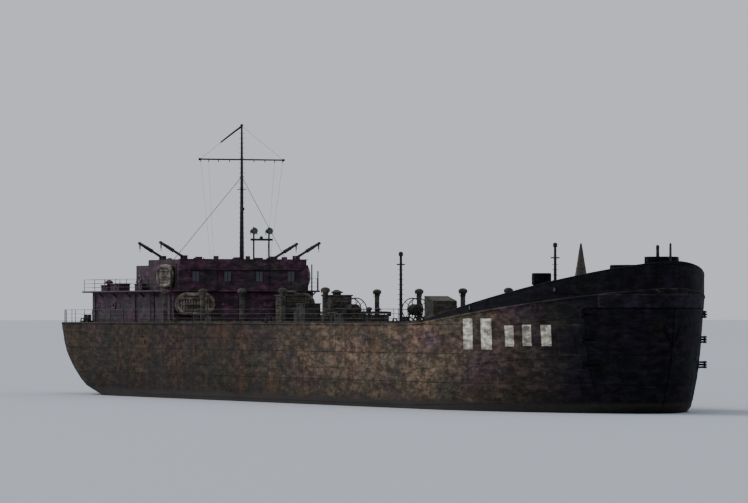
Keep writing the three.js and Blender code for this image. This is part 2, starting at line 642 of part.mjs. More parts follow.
function makeDavits() {
  const { hinge, height, pin, cheekIn, cheekOut, cheekHalf, baseHalf, baseThick, eyeHalf } = davit;
  const z0 = upperHouse.top + gap;
  Object.entries(davit.stations).forEach(([end, x]) => {
    const cheeks = [[-cheekOut, -cheekIn], [cheekIn, cheekOut]].map(([a, b]) => box(x + a, x + b,
      hinge - cheekHalf, hinge + cheekHalf, z0, height + davit.over));
    const base = box(x - baseHalf, x + baseHalf, hinge - baseHalf, hinge + baseHalf, z0, z0 + baseThick);
    const hole = bore([x - baseHalf, hinge, height], [x + baseHalf, hinge, height], pin);
    placeBothSides(`davit_frame_${end}`, union([base, ...cheeks]).subtract(hole), 'gear');
    const tip = [x, hinge + davit.tipReach, height + davit.tipRise];
    const blockY = tip[1] - fallBlock.inboard;
    placeBothSides(`davit_arm_${end}`, union([
      bar([x, hinge, height], tip, davit.arm, davit.arm * davit.taper, 8),
      pinBar([x - eyeHalf, hinge, height], [x + eyeHalf, hinge, height], davit.eye),
      pinBar([x - cheekOut, hinge, height], [x + cheekOut, hinge, height], pin),
      bar([x, blockY, tip[2] + fallBlock.over], [x, blockY, tip[2] - fallBlock.drop], fallBlock.top,
        fallBlock.foot, 8),
    ]), 'gear');
  });
}

function raft(turn, x, y, z) {
  const { long, short, tube, floor, floorInset, chock, chockIn, arcs } = rafts;
  const oval = (length, width) => {
    const shape = new THREE.Shape();
    const straight = (length - width) / 2;
    shape.absarc(straight, 0, width / 2, -Math.PI / 2, Math.PI / 2);
    shape.absarc(-straight, 0, width / 2, Math.PI / 2, 1.5 * Math.PI);
    return shape;
  };
  const ring = oval(long, short);
  ring.holes.push(oval(long - 2 * tube, short - 2 * tube));
  const rim = new THREE.ExtrudeGeometry(ring, { depth: tube, bevelEnabled: false, curveSegments: arcs });
  const bottom = new THREE.ExtrudeGeometry(oval(long - floorInset, short - floorInset),
    { depth: floor, bevelEnabled: false, curveSegments: arcs });
  bottom.translate(0, 0, (tube - floor) / 2);
  const chocks = [-long / 4, long / 4].map((u) => {
    const block = new THREE.BoxGeometry(chock, short - chock, raftStand - gap + chockIn);
    block.translate(u, 0, (chockIn + gap - raftStand) / 2);
    return block;
  });
  return union([rim, bottom, ...chocks].map((geometry) => {
    geometry.rotateX(Math.PI / 2);
    geometry.rotateZ(turn);
    geometry.translate(x, y, z);
    return toSolid(geometry);
  }));
}

function makeRafts() {
  rafts.places.forEach(({ name, turn, x, y, z }) => place(name, raft(turn, x, y, z), 'raft'));
}

function makeSternGear() {
  place('stern_tub', lathe(sternTub.x, 0, [
    [0, sternTub.floor - plate], [sternTub.radius, sternTub.floor - plate], [sternTub.radius, sternTub.top],
    [sternTub.radius - plate, sternTub.top], [sternTub.radius - plate, sternTub.floor], [0, sternTub.floor],
  ]), 'house');

  const z0 = deckHeight + gap;
  const across = (y0, y1) => [[winch.x, y0, winch.height], [winch.x, y1, winch.height]];
  const cheeks = [-1, 1].map((side) => side * (winch.half + winch.cheekOut)).map((y) => box(
    winch.x - winch.cheek, winch.x + winch.cheek, y - winch.cheekHalf, y + winch.cheekHalf, z0,
    winch.height + winch.cheekOver));
  const bedHalf = winch.half + winch.bedOut;
  const bed = box(winch.x - winch.bed, winch.x + winch.bed, -bedHalf, bedHalf, z0, z0 + winch.bedThick);
  const axleBore = bore(...across(-bedHalf - 1, bedHalf + 1), winch.axle);
  place('stern_winch_bed', union([bed, ...cheeks]).subtract(axleBore), 'gear');
  const barrelHalf = winch.half - winch.barrelShort;
  const axleHalf = winch.half + winch.axleOut;
  const flanges = [-1, 1].map((side) => pinBar(
    ...across(side * (winch.half - winch.flangeIn), side * (winch.half - winch.flangeOut)), winch.flange));
  place('stern_winch_drum', union([
    pinBar(...across(-barrelHalf, barrelHalf), winch.radius),
    pinBar(...across(-axleHalf, axleHalf), winch.axle),
    ...flanges,
  ]), 'gear');

  // The anchor hangs on a rack at the stern
  const { x, top, postHalf, postApart, postDeep } = anchorRack;
  const rackPosts = [-postApart, postApart].map((y) => box(x - postDeep, x + postDeep, y - postHalf,
    y + postHalf, z0, top));
  const beamHalf = postApart + postHalf;
  const beam = box(x - postDeep, x + postDeep, -beamHalf, beamHalf, top - anchorRack.beam, top);
  place('stern_anchor_rack', union([...rackPosts, beam]), 'gear');
  const { crown, stockAft } = anchor;
  const stock = box(x - stockAft, x - anchor.stockFore, -anchor.stockHalf, anchor.stockHalf,
    top - anchor.stockBottom, top - anchor.stockTop);
  const shank = box(x - anchor.shankAft, x - anchor.shankFore, -postHalf, postHalf, crown,
    top - anchor.shankTop);
  const crownBar = box(x - stockAft, x - anchor.crownFore, -anchor.crownHalf, anchor.crownHalf, crown,
    crown + anchor.crownHeight);
  const flukes = [-anchor.flukeApart, anchor.flukeApart].map((y) => profileSlab([
    [x - stockAft, crown], [x - anchor.flukeTip, crown + anchor.fluke], [x - anchor.flukeFore, crown],
  ], y - anchor.flukeHalf, y + anchor.flukeHalf));
  place('stern_anchor', union([stock, shank, crownBar, ...flukes]), 'gear');
}

function makeScrews() {
  [['port', 1], ['starboard', -1]].forEach(([name, side]) => {
    const y = side * screw.y;
    const hubHalf = screw.hubLength / 2;
    const hub = bar([screw.x - hubHalf, y, screw.z], [screw.x + hubHalf, y, screw.z], screw.hub * 0.7,
      screw.hub, pinSides);
    const shaft = pinBar([screw.x, y, screw.z], [skeg.aft + screw.shaftIn, y, screw.z], screw.shaft);
    const blades = Array.from({ length: screw.blades }, (_, i) => {
      const outline = new THREE.Shape();
      const reach = (screw.radius - blade.root) / 2;
      outline.absellipse(0, blade.root + reach, blade.half, reach, 0, 2 * Math.PI);
      const fan = new THREE.ExtrudeGeometry(outline, {
        depth: blade.thick, bevelEnabled: false, curveSegments: 5,
      });
      fan.translate(0, 0, -blade.thick / 2);
      fan.rotateY(side * Math.PI * blade.pitch);
      fan.rotateX(i * 2 * Math.PI / screw.blades);
      fan.translate(screw.x, y, screw.z);
      return toSolid(fan);
    });
    place(`propeller_${name}`, union([hub, shaft, ...blades]), 'bronze');

    const leading = rudder.x + rudder.ahead;
    const trailing = leading - rudder.chord;
    const widest = rudder.x - rudder.widest;
    const half = rudder.thick / 2;
    const plan = [
      [leading, 0], [leading - rudder.nose, half], [widest, half], [trailing, rudder.tail],
      [trailing, -rudder.tail], [widest, -half], [leading - rudder.nose, -half],
    ];
    const fin = slab(plan.map(([px, py]) => [px, y + py]), rudder.bottom, rudder.top);
    const stock = pinBar([rudder.x, y, rudder.bottom + 4], [rudder.x, y, rudder.stockTop - 1], rudder.stock);
    place(`rudder_${name}`, fin.add(stock), 'hull');
  });
}

makeHull();
makeDecks();
makeBowDoors();
makeBowGear();
makeDeckGear();
makeHouses();
makeMast();
makeDavits();
makeRafts();
makeSternGear();
makeScrews();

export default root;
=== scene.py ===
import json
import math

import bmesh
import bpy
from mathutils import Matrix, Vector
from mathutils.bvhtree import BVHTree

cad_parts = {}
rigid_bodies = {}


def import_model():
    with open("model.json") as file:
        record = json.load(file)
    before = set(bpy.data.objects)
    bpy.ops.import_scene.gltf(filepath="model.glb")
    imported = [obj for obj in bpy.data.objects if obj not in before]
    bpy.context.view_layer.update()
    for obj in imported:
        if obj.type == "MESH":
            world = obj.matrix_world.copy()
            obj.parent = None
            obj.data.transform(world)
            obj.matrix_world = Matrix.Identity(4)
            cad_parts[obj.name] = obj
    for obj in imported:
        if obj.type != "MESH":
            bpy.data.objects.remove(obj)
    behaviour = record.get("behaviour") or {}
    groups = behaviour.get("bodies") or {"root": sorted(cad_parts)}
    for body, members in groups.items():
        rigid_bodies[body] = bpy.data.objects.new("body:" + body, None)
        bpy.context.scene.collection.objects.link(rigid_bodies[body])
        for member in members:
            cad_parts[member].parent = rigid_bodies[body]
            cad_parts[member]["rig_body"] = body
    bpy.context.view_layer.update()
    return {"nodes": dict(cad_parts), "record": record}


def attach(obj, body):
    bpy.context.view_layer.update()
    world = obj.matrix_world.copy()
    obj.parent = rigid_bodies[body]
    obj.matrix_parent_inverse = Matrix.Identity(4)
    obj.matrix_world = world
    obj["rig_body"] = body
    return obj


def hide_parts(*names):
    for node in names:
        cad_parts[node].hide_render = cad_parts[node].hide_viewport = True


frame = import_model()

# Tank landing ship at 1:10, in metres. +X is the bow, +Y is port, z = 0 is the flat bottom.
nodes = frame["nodes"]
bodyOf = {name: node["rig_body"] for name, node in nodes.items()}
slotOf = {row["node"]: row["material_slot"] for row in frame["record"]["subparts"]}
waterline = 0.2
upright = Vector((0, 0, 1))


# Camera

cameraSettings = {
    "place": (33.4, -13.95, 0.82),
    "heading": (-0.9135, 0.4067, 0.0),
    "photoFocal": 2130,         # focal length of the photograph, in its own pixels
    "photoCentre": (374, 297),  # optical axis across, horizon down
    "windowCentre": (327, 270),
    "windowWidth": 316,
    "sensor": 36,
}


def makeCamera():
    s = cameraSettings
    data = bpy.data.cameras.new("camera")
    camera = bpy.data.objects.new("camera", data)
    bpy.context.scene.collection.objects.link(camera)
    heading = Vector(s["heading"]).normalized()
    right = heading.cross(upright)
    aside = (s["windowCentre"][0] - s["photoCentre"][0]) / s["photoFocal"]
    above = (s["photoCentre"][1] - s["windowCentre"][1]) / s["photoFocal"]
    aim = heading + right * aside + upright * above
    camera.location = s["place"]
    camera.rotation_euler = aim.to_track_quat("-Z", "Y").to_euler()
    data.sensor_width = s["sensor"]
    data.lens = s["sensor"] * s["photoFocal"] / s["windowWidth"]
    data.clip_start = 0.5
    data.clip_end = 900
    bpy.context.scene.camera = camera


makeCamera()
print("camera ready")


# Node helpers for the finishes

def startFinish(name):
    material = bpy.data.materials.new(name)
    material.use_nodes = True
    tree = material.node_tree
    tree.nodes.clear()
    out = tree.nodes.new("ShaderNodeOutputMaterial")
    shader = tree.nodes.new("ShaderNodeBsdfPrincipled")
    tree.links.new(shader.outputs["BSDF"], out.inputs["Surface"])
    place = tree.nodes.new("ShaderNodeTexCoord")
    return material, tree, shader, place.outputs["Object"]


def stretched(tree, source, scale):
    mapping = tree.nodes.new("ShaderNodeMapping")
    mapping.inputs["Scale"].default_value = scale
    tree.links.new(source, mapping.inputs["Vector"])
    return mapping.outputs["Vector"]


def noise(tree, vector, scale, detail=5, roughness=0.6):
    node = tree.nodes.new("ShaderNodeTexNoise")
    node.inputs["Scale"].default_value = scale
    node.inputs["Detail"].default_value = detail
    node.inputs["Roughness"].default_value = roughness
    tree.links.new(vector, node.inputs["Vector"])
    return node.outputs["Fac"]


def banded(tree, value, stops):
    node = tree.nodes.new("ShaderNodeValToRGB")
    band = node.color_ramp
    while len(band.elements) < len(stops):
        band.elements.new(0.5)
    for element, (place, colour) in zip(band.elements, stops):
        element.position = place
        element.color = (*colour, 1)
    tree.links.new(value, node.inputs["Fac"])
    return node.outputs["Color"]


def grey(value):
    return (value, value, value)


def mixed(tree, share, first, second, blend="MIX"):
    node = tree.nodes.new("ShaderNodeMix")
    node.data_type = "RGBA"
    node.blend_type = blend
    for socket, value in ((node.inputs[0], share), (node.inputs[6], first), (node.inputs[7], second)):
        if isinstance(value, (int, float)):
            socket.default_value = value
        elif isinstance(value, tuple):
            socket.default_value = (*value, 1)
        else:
            tree.links.new(value, socket)
    return node.outputs[2]


def axisOf(tree, coords, axis):
    node = tree.nodes.new("ShaderNodeSeparateXYZ")
    tree.links.new(coords, node.inputs["Vector"])
    return node.outputs[axis]


def between(tree, value, low, high):
    node = tree.nodes.new("ShaderNodeMapRange")
    node.inputs["From Min"].default_value = low
    node.inputs["From Max"].default_value = high
    tree.links.new(value, node.inputs["Value"])
    return node.outputs["Result"]


# Plates in a brick bond: a tone for each plate, and its seam
def plating(tree, coords, across, down, width, height, seam):
    joined = tree.nodes.new("ShaderNodeCombineXYZ")
    tree.links.new(axisOf(tree, coords, across), joined.inputs["X"])
    tree.links.new(axisOf(tree, coords, down), joined.inputs["Y"])
    brick = tree.nodes.new("ShaderNodeTexBrick")
    brick.inputs["Scale"].default_value = 1
    brick.inputs["Brick Width"].default_value = width
    brick.inputs["Row Height"].default_value = height
    brick.inputs["Mortar Size"].default_value = seam
    brick.inputs["Mortar Smooth"].default_value = 0.4
    brick.inputs["Color1"].default_value = (0, 0, 0, 1)
    brick.inputs["Color2"].default_value = (1, 1, 1, 1)
    brick.inputs["Mortar"].default_value = (0.5, 0.5, 0.5, 1)
    tree.links.new(joined.outputs["Vector"], brick.inputs["Vector"])
    return brick.outputs["Color"], brick.outputs["Fac"]


def bumped(tree, shader, height, strength, distance):
    bump = tree.nodes.new("ShaderNodeBump")
    bump.inputs["Strength"].default_value = strength
    bump.inputs["Distance"].default_value = distance
    tree.links.new(height, bump.inputs["Height"])
    tree.links.new(bump.outputs["Normal"], shader.inputs["Normal"])


# Each paint has the two tones of its coat, the tones of its olive and plum patches and of its rust, and how much
# rust, streaking and mottling it carries. plate is how its plates run: (along, across, width, height).
paints = {
    "hull_paint": {"light": (0.165, 0.105, 0.066), "dark": (0.054, 0.037, 0.028), "rust": (0.20, 0.082, 0.034),
                   "olive": (0.085, 0.074, 0.044), "plum": (0.105, 0.062, 0.070), "rusting": 0.5, "streak": 0.38,
                   "mottle": 2.4, "rough": 0.84, "gloss": 0.16, "plate": ("X", "Z", 0.62, 0.19)},
    # Near-black coat of the bow: partly dark paint and partly painted shade, where the bow faces away from the light
    "bow_paint": {"light": (0.013, 0.010, 0.017), "dark": (0.003, 0.003, 0.005), "rust": (0.040, 0.022, 0.016),
                  "olive": (0.008, 0.009, 0.008), "plum": (0.010, 0.006, 0.012), "rusting": 0.22, "streak": 0.5,
                  "mottle": 4.0, "rough": 0.84, "gloss": 0.12, "plate": ("X", "Z", 0.45, 0.19)},
    "deck_paint": {"light": (0.080, 0.070, 0.058), "dark": (0.032, 0.029, 0.026), "rust": (0.14, 0.060, 0.028),
                   "olive": (0.050, 0.050, 0.036), "rusting": 0.42, "streak": 0.0, "mottle": 5.0, "rough": 0.86,
                   "plate": ("X", "Y", 0.62, 0.25)},
    "house_paint": {"light": (0.100, 0.036, 0.070), "dark": (0.022, 0.010, 0.019), "rust": (0.13, 0.050, 0.030),
                    "olive": (0.040, 0.036, 0.030), "rusting": 0.34, "streak": 0.5, "mottle": 6.0, "rough": 0.74},
    "spar_paint": {"light": (0.024, 0.022, 0.024), "dark": (0.008, 0.008, 0.010), "rust": (0.070, 0.030, 0.018),
                   "olive": (0.016, 0.016, 0.014), "rusting": 0.25, "streak": 0.3, "mottle": 18.0, "rough": 0.6},
    "deck_gear": {"light": (0.050, 0.042, 0.036), "dark": (0.016, 0.014, 0.013), "rust": (0.12, 0.045, 0.020),
                  "olive": (0.034, 0.034, 0.024), "rusting": 0.5, "streak": 0.3, "mottle": 14.0, "rough": 0.7},
    "raft_paint": {"light": (0.26, 0.21, 0.17), "dark": (0.10, 0.080, 0.064), "rust": (0.12, 0.066, 0.040),
                   "olive": (0.15, 0.14, 0.10), "rusting": 0.25, "streak": 0.4, "mottle": 12.0, "rough": 0.8},
    "white_paint": {"light": (0.74, 0.68, 0.55), "dark": (0.50, 0.45, 0.36), "rust": (0.24, 0.14, 0.080),
                    "olive": (0.56, 0.50, 0.40), "rusting": 0.2, "streak": 0.5, "mottle": 12.0, "rough": 0.7},
}


# Where the colour of the hull changes, along X or up Z. The black towards the stem is partly dark paint and partly
# painted shade, where the bow faces away from the light
hullZones = {
    "bow": ("X", 3.1, 4.45),
    "rust": ("X", 4.2, 3.2),
    "darker_aft": ("X", -0.6, 1.5),
    "darker_low": ("Z", waterline + 0.06, waterline + 0.30),
    "wet": ("Z", waterline + 0.075, waterline + 0.045),
    "bottom": ("Z", waterline - 0.010, waterline - 0.018),
}
wetTones = ((0.020, 0.018, 0.017), (0.045, 0.036, 0.030))
bottomTones = ((0.045, 0.016, 0.012), (0.13, 0.045, 0.030))


def zoneShare(tree, coords, zone):
    axis, low, high = hullZones[zone]
    return between(tree, axisOf(tree, coords, axis), low, high)


def greyBand(tree, value, *stops):
    return banded(tree, value, [(place, grey(tone)) for place, tone in stops])


def shaded(tree, share, coat, value, *stops):
    return mixed(tree, share, coat, greyBand(tree, value, *stops), "MULTIPLY")


def coatOf(tree, s, patches, olives):
    tone = banded(tree, patches, [(0.36, s["dark"]), (0.64, s["light"])])
    share = greyBand(tree, olives, (0.46, 0), (0.66, 0.8))
    plums = greyBand(tree, olives, (0.32, 0.8), (0.46, 0))
    return mixed(tree, plums, mixed(tree, share, tone, s["olive"]), s.get("plum", s["dark"]))


def makePaint(name):
    s = paints[name]
    isHull = name == "hull_paint"
    material, tree, shader, coords = startFinish(name)
    patches = noise(tree, stretched(tree, coords, (1, 1, 1.7)), s["mottle"], 8, 0.64)
    olives = noise(tree, stretched(tree, coords, (0.8, 1, 2.2)), s["mottle"] * 0.8, 4, 0.55)
    coat = coatOf(tree, s, patches, olives)
    if isHull:
        # Towards the stem the coat turns to the bow's black, partly dark paint and partly painted shade
        coat = mixed(tree, zoneShare(tree, coords, "bow"), coat, coatOf(tree, paints["bow_paint"], patches, olives))
    height = patches
    if "plate" in s:
        tint, seam = plating(tree, coords, *s["plate"], 0.0035)
        coat = shaded(tree, 0.55, coat, tint, (0.0, 0.76), (1.0, 1.0))
        coat = mixed(tree, seam, coat, tuple(c * 0.6 for c in s["dark"]))
        height = mixed(tree, seam, height, grey(0.2))
    runs = noise(tree, stretched(tree, coords, (9, 9, 0.8)), 2.4, 7, 0.72)
    coat = shaded(tree, s["streak"], coat, runs, (0.40, 0.42), (0.60, 1.0))
    smears = noise(tree, stretched(tree, coords, (1, 1, 2.6)), 11, 7, 0.72)
    coat = shaded(tree, 0.75, coat, smears, (0.38, 0.12), (0.50, 0.8), (0.62, 2.2))
    if isHull:
        # The hull darker aft and lighter forward along X
        coat = shaded(tree, 1.0, coat, zoneShare(tree, coords, "darker_aft"), (0.0, 0.45), (1.0, 1.35))
        # The hull side darker towards the waterline
        coat = shaded(tree, 1.0, coat, zoneShare(tree, coords, "darker_low"), (0.0, 0.55), (1.0, 1.0))
    blooms = noise(tree, stretched(tree, coords, (1, 1, 0.55)), s["mottle"] * 1.7, 10, 0.74)
    rusty = greyBand(tree, blooms, (0.62 - 0.14 * s["rusting"], 0), (0.74, 1))
    grain = noise(tree, coords, 120, 3, 0.6)
    rustTone = banded(tree, grain, [(0.3, tuple(c * 0.4 for c in s["rust"])), (0.7, s["rust"])])
    if isHull:
        rusty = mixed(tree, zoneShare(tree, coords, "rust"), grey(0), rusty)
    coat = mixed(tree, rusty, coat, rustTone)
    if isHull or name == "bow_paint":
        coat = mixed(tree, zoneShare(tree, coords, "wet"), coat, mixed(tree, runs, *wetTones))
        coat = mixed(tree, zoneShare(tree, coords, "bottom"), coat, mixed(tree, patches, *bottomTones))
    tree.links.new(coat, shader.inputs["Base Color"])
    rough = greyBand(tree, patches, (0.3, s["rough"] - 0.14), (0.75, min(1, s["rough"] + 0.14)))
    tree.links.new(mixed(tree, rusty, rough, grey(0.92)), shader.inputs["Roughness"])
    shader.inputs["Specular IOR Level"].default_value = s.get("gloss", 0.3)
    bumped(tree, shader, mixed(tree, 0.4, height, grain), 0.45, 0.006)
    return material


def makeBronze():
    material, tree, shader, coords = startFinish("bronze")
    stains = noise(tree, coords, 30, 6, 0.6)
    tree.links.new(banded(tree, stains, [(0.35, (0.11, 0.10, 0.055)), (0.6, (0.42, 0.27, 0.10))]),
                   shader.inputs["Base Color"])
    tree.links.new(greyBand(tree, stains, (0.3, 0.6), (0.7, 0.3)), shader.inputs["Roughness"])
    shader.inputs["Metallic"].default_value = 0.9
    bumped(tree, shader, stains, 0.2, 0.002)
    return material


def makeCanvas():
    material, tree, shader, coords = startFinish("canvas")
    wave = tree.nodes.new("ShaderNodeTexWave")
    wave.inputs["Scale"].default_value = 90
    wave.inputs["Distortion"].default_value = 0.6
    tree.links.new(coords, wave.inputs["Vector"])
    stains = noise(tree, stretched(tree, coords, (1, 1, 0.4)), 18, 6, 0.6)
    tone = banded(tree, stains, [(0.3, (0.030, 0.028, 0.020)), (0.7, (0.095, 0.086, 0.060))])
    tree.links.new(mixed(tree, 0.25, tone, wave.outputs["Color"], "MULTIPLY"), shader.inputs["Base Color"])
    shader.inputs["Roughness"].default_value = 0.95
    shader.inputs["Sheen Weight"].default_value = 0.25
    bumped(tree, shader, mixed(tree, 0.5, wave.outputs["Color"], stains), 0.3, 0.001)
    return material


# Dark glass; the same finish is painted shade on the discs inside open mouths
def makeGlass():
    material, tree, shader, coords = startFinish("window_glass")
    grime = noise(tree, coords, 40, 4, 0.6)
    tree.links.new(banded(tree, grime, [(0.3, (0.02, 0.024, 0.03)), (0.7, (0.05, 0.055, 0.06))]),
                   shader.inputs["Base Color"])
    tree.links.new(greyBand(tree, grime, (0.3, 0.08), (0.7, 0.28)), shader.inputs["Roughness"])
    return material


def makeFloorPaint(tone):
    material, tree, shader, coords = startFinish("floor_paint")
    drift = noise(tree, coords, 0.02, 3, 0.5)
    tree.links.new(banded(tree, drift, [(0.3, tuple(c * 0.97 for c in tone)), (0.7, tone)]),
                   shader.inputs["Base Color"])
    shader.inputs["Roughness"].default_value = 0.75
    shader.inputs["Specular IOR Level"].default_value = 0.2
    return material


finishes = {name: makePaint(name) for name in paints}
finishes["bronze"] = makeBronze()
finishes["canvas"] = makeCanvas()
finishes["glass_and_shade"] = makeGlass()
for name, node in nodes.items():
    node.data.materials.clear()
    node.data.materials.append(finishes[slotOf[name]])
print("materials ready")


# Floor at the waterline, and a soft sky with one broad lamp

studio = {
    "floorSize": 1200,
    "floorTone": (0.50, 0.53, 0.57),
    "sky": (0.66, 0.69, 0.76),
    "skyStrength": 0.95,
    "sunStrength": 1.5,
    "sunAngle": 35,
    "sunTurn": (52, 0, -62),
}


def makeStudio():
    s = studio
    bm = bmesh.new()
    bmesh.ops.create_grid(bm, x_segments=1, y_segments=1, size=s["floorSize"] / 2,
                          matrix=Matrix.Translation((0, 0, waterline)))
    mesh = bpy.data.meshes.new("floor")
    bm.to_mesh(mesh)
    bm.free()
    floor = bpy.data.objects.new("floor", mesh)
    bpy.context.scene.collection.objects.link(floor)
    mesh.materials.append(makeFloorPaint(s["floorTone"]))
    world = bpy.data.worlds.new("sky")
    world.use_nodes = True
    bpy.context.scene.world = world
    background = world.node_tree.nodes["Background"]
    background.inputs["Color"].default_value = (*s["sky"], 1)
    background.inputs["Strength"].default_value = s["skyStrength"]
    sunData = bpy.data.lights.new("sun", "SUN")
    sunData.energy = s["sunStrength"]
    sunData.angle = math.radians(s["sunAngle"])
    sun = bpy.data.objects.new("sun", sunData)
    sun.rotation_euler = [math.radians(a) for a in s["sunTurn"]]
    bpy.context.scene.collection.objects.link(sun)


makeStudio()
print("studio ready")


# Modelling helpers

def addBox(bm, low, high):
    low, high = Vector(low), Vector(high)
    matrix = Matrix.Translation((low + high) / 2) @ Matrix.Diagonal((*(high - low), 1))
    return bmesh.ops.create_cube(bm, size=1, matrix=matrix)["verts"]


# A plate or block between two points, square on, with its own width and thickness
def addBeam(bm, start, end, width, thick, side=(0, 1, 0)):
    start, end = Vector(start), Vector(end)
    along = (end - start).normalized()
    across = (Vector(side) - along * along.dot(Vector(side))).normalized()
    over = along.cross(across)
    turn = Matrix((along, across, over)).transposed().to_4x4()
    size = Matrix.Diagonal(((end - start).length, width, thick, 1))
    return bmesh.ops.create_cube(bm, size=1, matrix=Matrix.Translation((start + end) / 2) @ turn @ size)["verts"]


def addRod(bm, start, end, radius, endRadius=None, sides=8):
    start, end = Vector(start), Vector(end)
    turn = (end - start).to_track_quat("Z", "Y").to_matrix().to_4x4()
    return bmesh.ops.create_cone(
        bm, cap_ends=True, segments=sides, radius1=radius, radius2=radius if endRadius is None else endRadius,
        depth=(end - start).length, matrix=Matrix.Translation((start + end) / 2) @ turn)["verts"]


def addBall(bm, centre, radius, squash=1.0):
    matrix = Matrix.Translation(centre) @ Matrix.Diagonal((1, 1, squash, 1))
    return bmesh.ops.create_icosphere(bm, subdivisions=2, radius=radius, matrix=matrix)["verts"]


# A profile of (radius, height) turned round an axis
def addLathe(bm, centre, profile, sides=32, axis=(0, 0, 1)):
    axis = Vector(axis).normalized()
    out = axis.orthogonal().normalized()
    centre = Vector(centre)
    start = len(bm.verts)
    points = [bm.verts.new(centre + out * radius + axis * height) for radius, height in profile]
    edges = [bm.edges.new(pair) for pair in zip(points, points[1:])]
    bmesh.ops.spin(bm, geom=points + edges, cent=centre, axis=axis, angle=2 * math.pi, steps=sides, use_merge=True)
    bm.verts.ensure_lookup_table()
    bmesh.ops.remove_doubles(bm, verts=bm.verts[start:], dist=2e-6)


def addHoop(bm, centre, axis, radius, thick, sides=24, around=6):
    turns = [2 * math.pi * i / around for i in range(around + 1)]
    addLathe(bm, centre, [(radius + thick * math.cos(a), thick * math.sin(a)) for a in turns], sides, axis)


def frameAt(points, index, closed, reference):
    count = len(points)
    before = points[(index - 1) % count] if closed or index > 0 else points[index]
    after = points[(index + 1) % count] if closed or index < count - 1 else points[index]
    along = (after - before).normalized()
    across = along.cross(reference).normalized()
    turn = Matrix((across, along.cross(across), along)).transposed().to_4x4()
    return Matrix.Translation(points[index]) @ turn


# A round bar, pipe or wire along a path
def addSweep(bm, path, radius, sides=6, closed=False):
    points = [Vector(p) for p in path]
    runs = [(b - a).normalized() for a, b in zip(points, points[1:])]
    axes = [Vector((1, 0, 0)), Vector((0, 1, 0)), Vector((0, 0, 1))]
    reference = min(axes, key=lambda axis: max(abs(run.dot(axis)) for run in runs))
    frames = [frameAt(points, i, closed, reference) for i in range(len(points))]
    ring = bmesh.ops.create_circle(bm, cap_ends=True, segments=sides, radius=radius, matrix=frames[0])["verts"]
    firstCap = face = ring[0].link_faces[0]
    for before, after in zip(frames, frames[1:] + (frames[:1] if closed else [])):
        grown = bmesh.ops.extrude_face_region(bm, geom=[face, *face.edges, *face.verts])
        face = next(item for item in grown["geom"] if isinstance(item, bmesh.types.BMFace))
        bmesh.ops.transform(bm, matrix=after @ before.inverted(), verts=face.verts)
    if closed:
        ends = list(firstCap.verts) + list(face.verts)
        bmesh.ops.delete(bm, geom=[firstCap, face], context="FACES_ONLY")
        bmesh.ops.remove_doubles(bm, verts=ends, dist=1e-6)


# Stanchions with taut wires between them
def addRails(bm, path, height, wires=3, radius=0.0028, wireRadius=0.0016):
    for point in path:
        foot = Vector(point)
        addRod(bm, foot, foot + upright * height, radius, sides=6)
    for i in range(wires):
        lift = upright * height * (i + 1) / wires * 0.98
        addSweep(bm, [Vector(point) + lift for point in path], wireRadius, 4)


def addLadder(bm, foot, top, side, width=0.04, step=0.03):
    foot, top, side = Vector(foot), Vector(top), Vector(side).normalized() * width / 2
    for s in (-1, 1):
        addRod(bm, foot + side * s, top + side * s, 0.0022, sides=6)
    count = int((top - foot).length / step)
    for i in range(1, count):
        middle = foot.lerp(top, i / count)
        addRod(bm, middle - side, middle + side, 0.0016, sides=4)


# Even places from start towards end, which is left out itself
def placesAlong(start, end, step):
    place = start
    while (end - place) * step > 0:
        yield place
        place += step


def outwards(turn):
    return Vector((math.cos(turn), math.sin(turn), 0))


# Gives a mesh its finish, picked by slot name, its shading and its body
def placePiece(name, mesh, body, slotName, finish=None, replaced=(), smooth=35):
    piece = bpy.data.objects.new(name, mesh)
    bpy.context.scene.collection.objects.link(piece)
    mesh.materials.clear()
    mesh.materials.append(finishes[finish or slotName])
    kept = mesh.attributes.get("custom_normal")
    if kept:
        mesh.attributes.remove(kept)
    mesh.shade_smooth()
    mesh.set_sharp_from_angle(angle=math.radians(smooth))
    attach(piece, body)
    if replaced:
        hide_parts(*replaced)
    return piece


def finishPiece(name, bm, body, slotName, finish=None, replaced=(), smooth=35):
    bmesh.ops.recalc_face_normals(bm, faces=bm.faces)
    mesh = bpy.data.meshes.new(name)
    bm.to_mesh(mesh)
    bm.free()
    return placePiece(name, mesh, body, slotName, finish, replaced, smooth)


def bothSides(make):
    for side, word in ((1, "port"), (-1, "starboard")):
        make(side, word)


# A merged copy of a CAD node, ready to smooth or cut
def mergedCopy(bm, name):
    start = len(bm.verts)
    bm.from_mesh(nodes[name].data)
    bm.verts.ensure_lookup_table()
    bmesh.ops.remove_doubles(bm, verts=bm.verts[start:], dist=2e-5)


# Flat areas made whole and then cut across at even steps, so that the shading stays even
def evenCopy(bm, name, step=0.25):
    start = len(bm.faces)
    mergedCopy(bm, name)
    bm.faces.ensure_lookup_table()
    faces = bm.faces[start:]
    verts = list(dict.fromkeys(v for face in faces for v in face.verts))
    edges = list(dict.fromkeys(e for face in faces for e in face.edges))
    bmesh.ops.dissolve_limit(bm, angle_limit=math.radians(0.4), verts=verts, edges=edges)
    for i in range(1, int(hullLines["length"] / step)):
        bmesh.ops.bisect_plane(bm, geom=bm.verts[:] + bm.edges[:] + bm.faces[:], dist=1e-6,
                               plane_co=(hullLines["stem"] - step * i, 0, 0), plane_no=(1, 0, 0))
    bm.normal_update()


# A node's own mesh, merged and smoothed, in the node's place
def smoothNode(name, smooth=32, even=False):
    bm = bmesh.new()
    (evenCopy if even else mergedCopy)(bm, name)
    bmesh.ops.recalc_face_normals(bm, faces=bm.faces)
    mesh = bpy.data.meshes.new(name + "_skin")
    bm.to_mesh(mesh)
    bm.free()
    return placePiece(name + "_skin", mesh, bodyOf[name], slotOf[name], replaced=(name,), smooth=smooth)


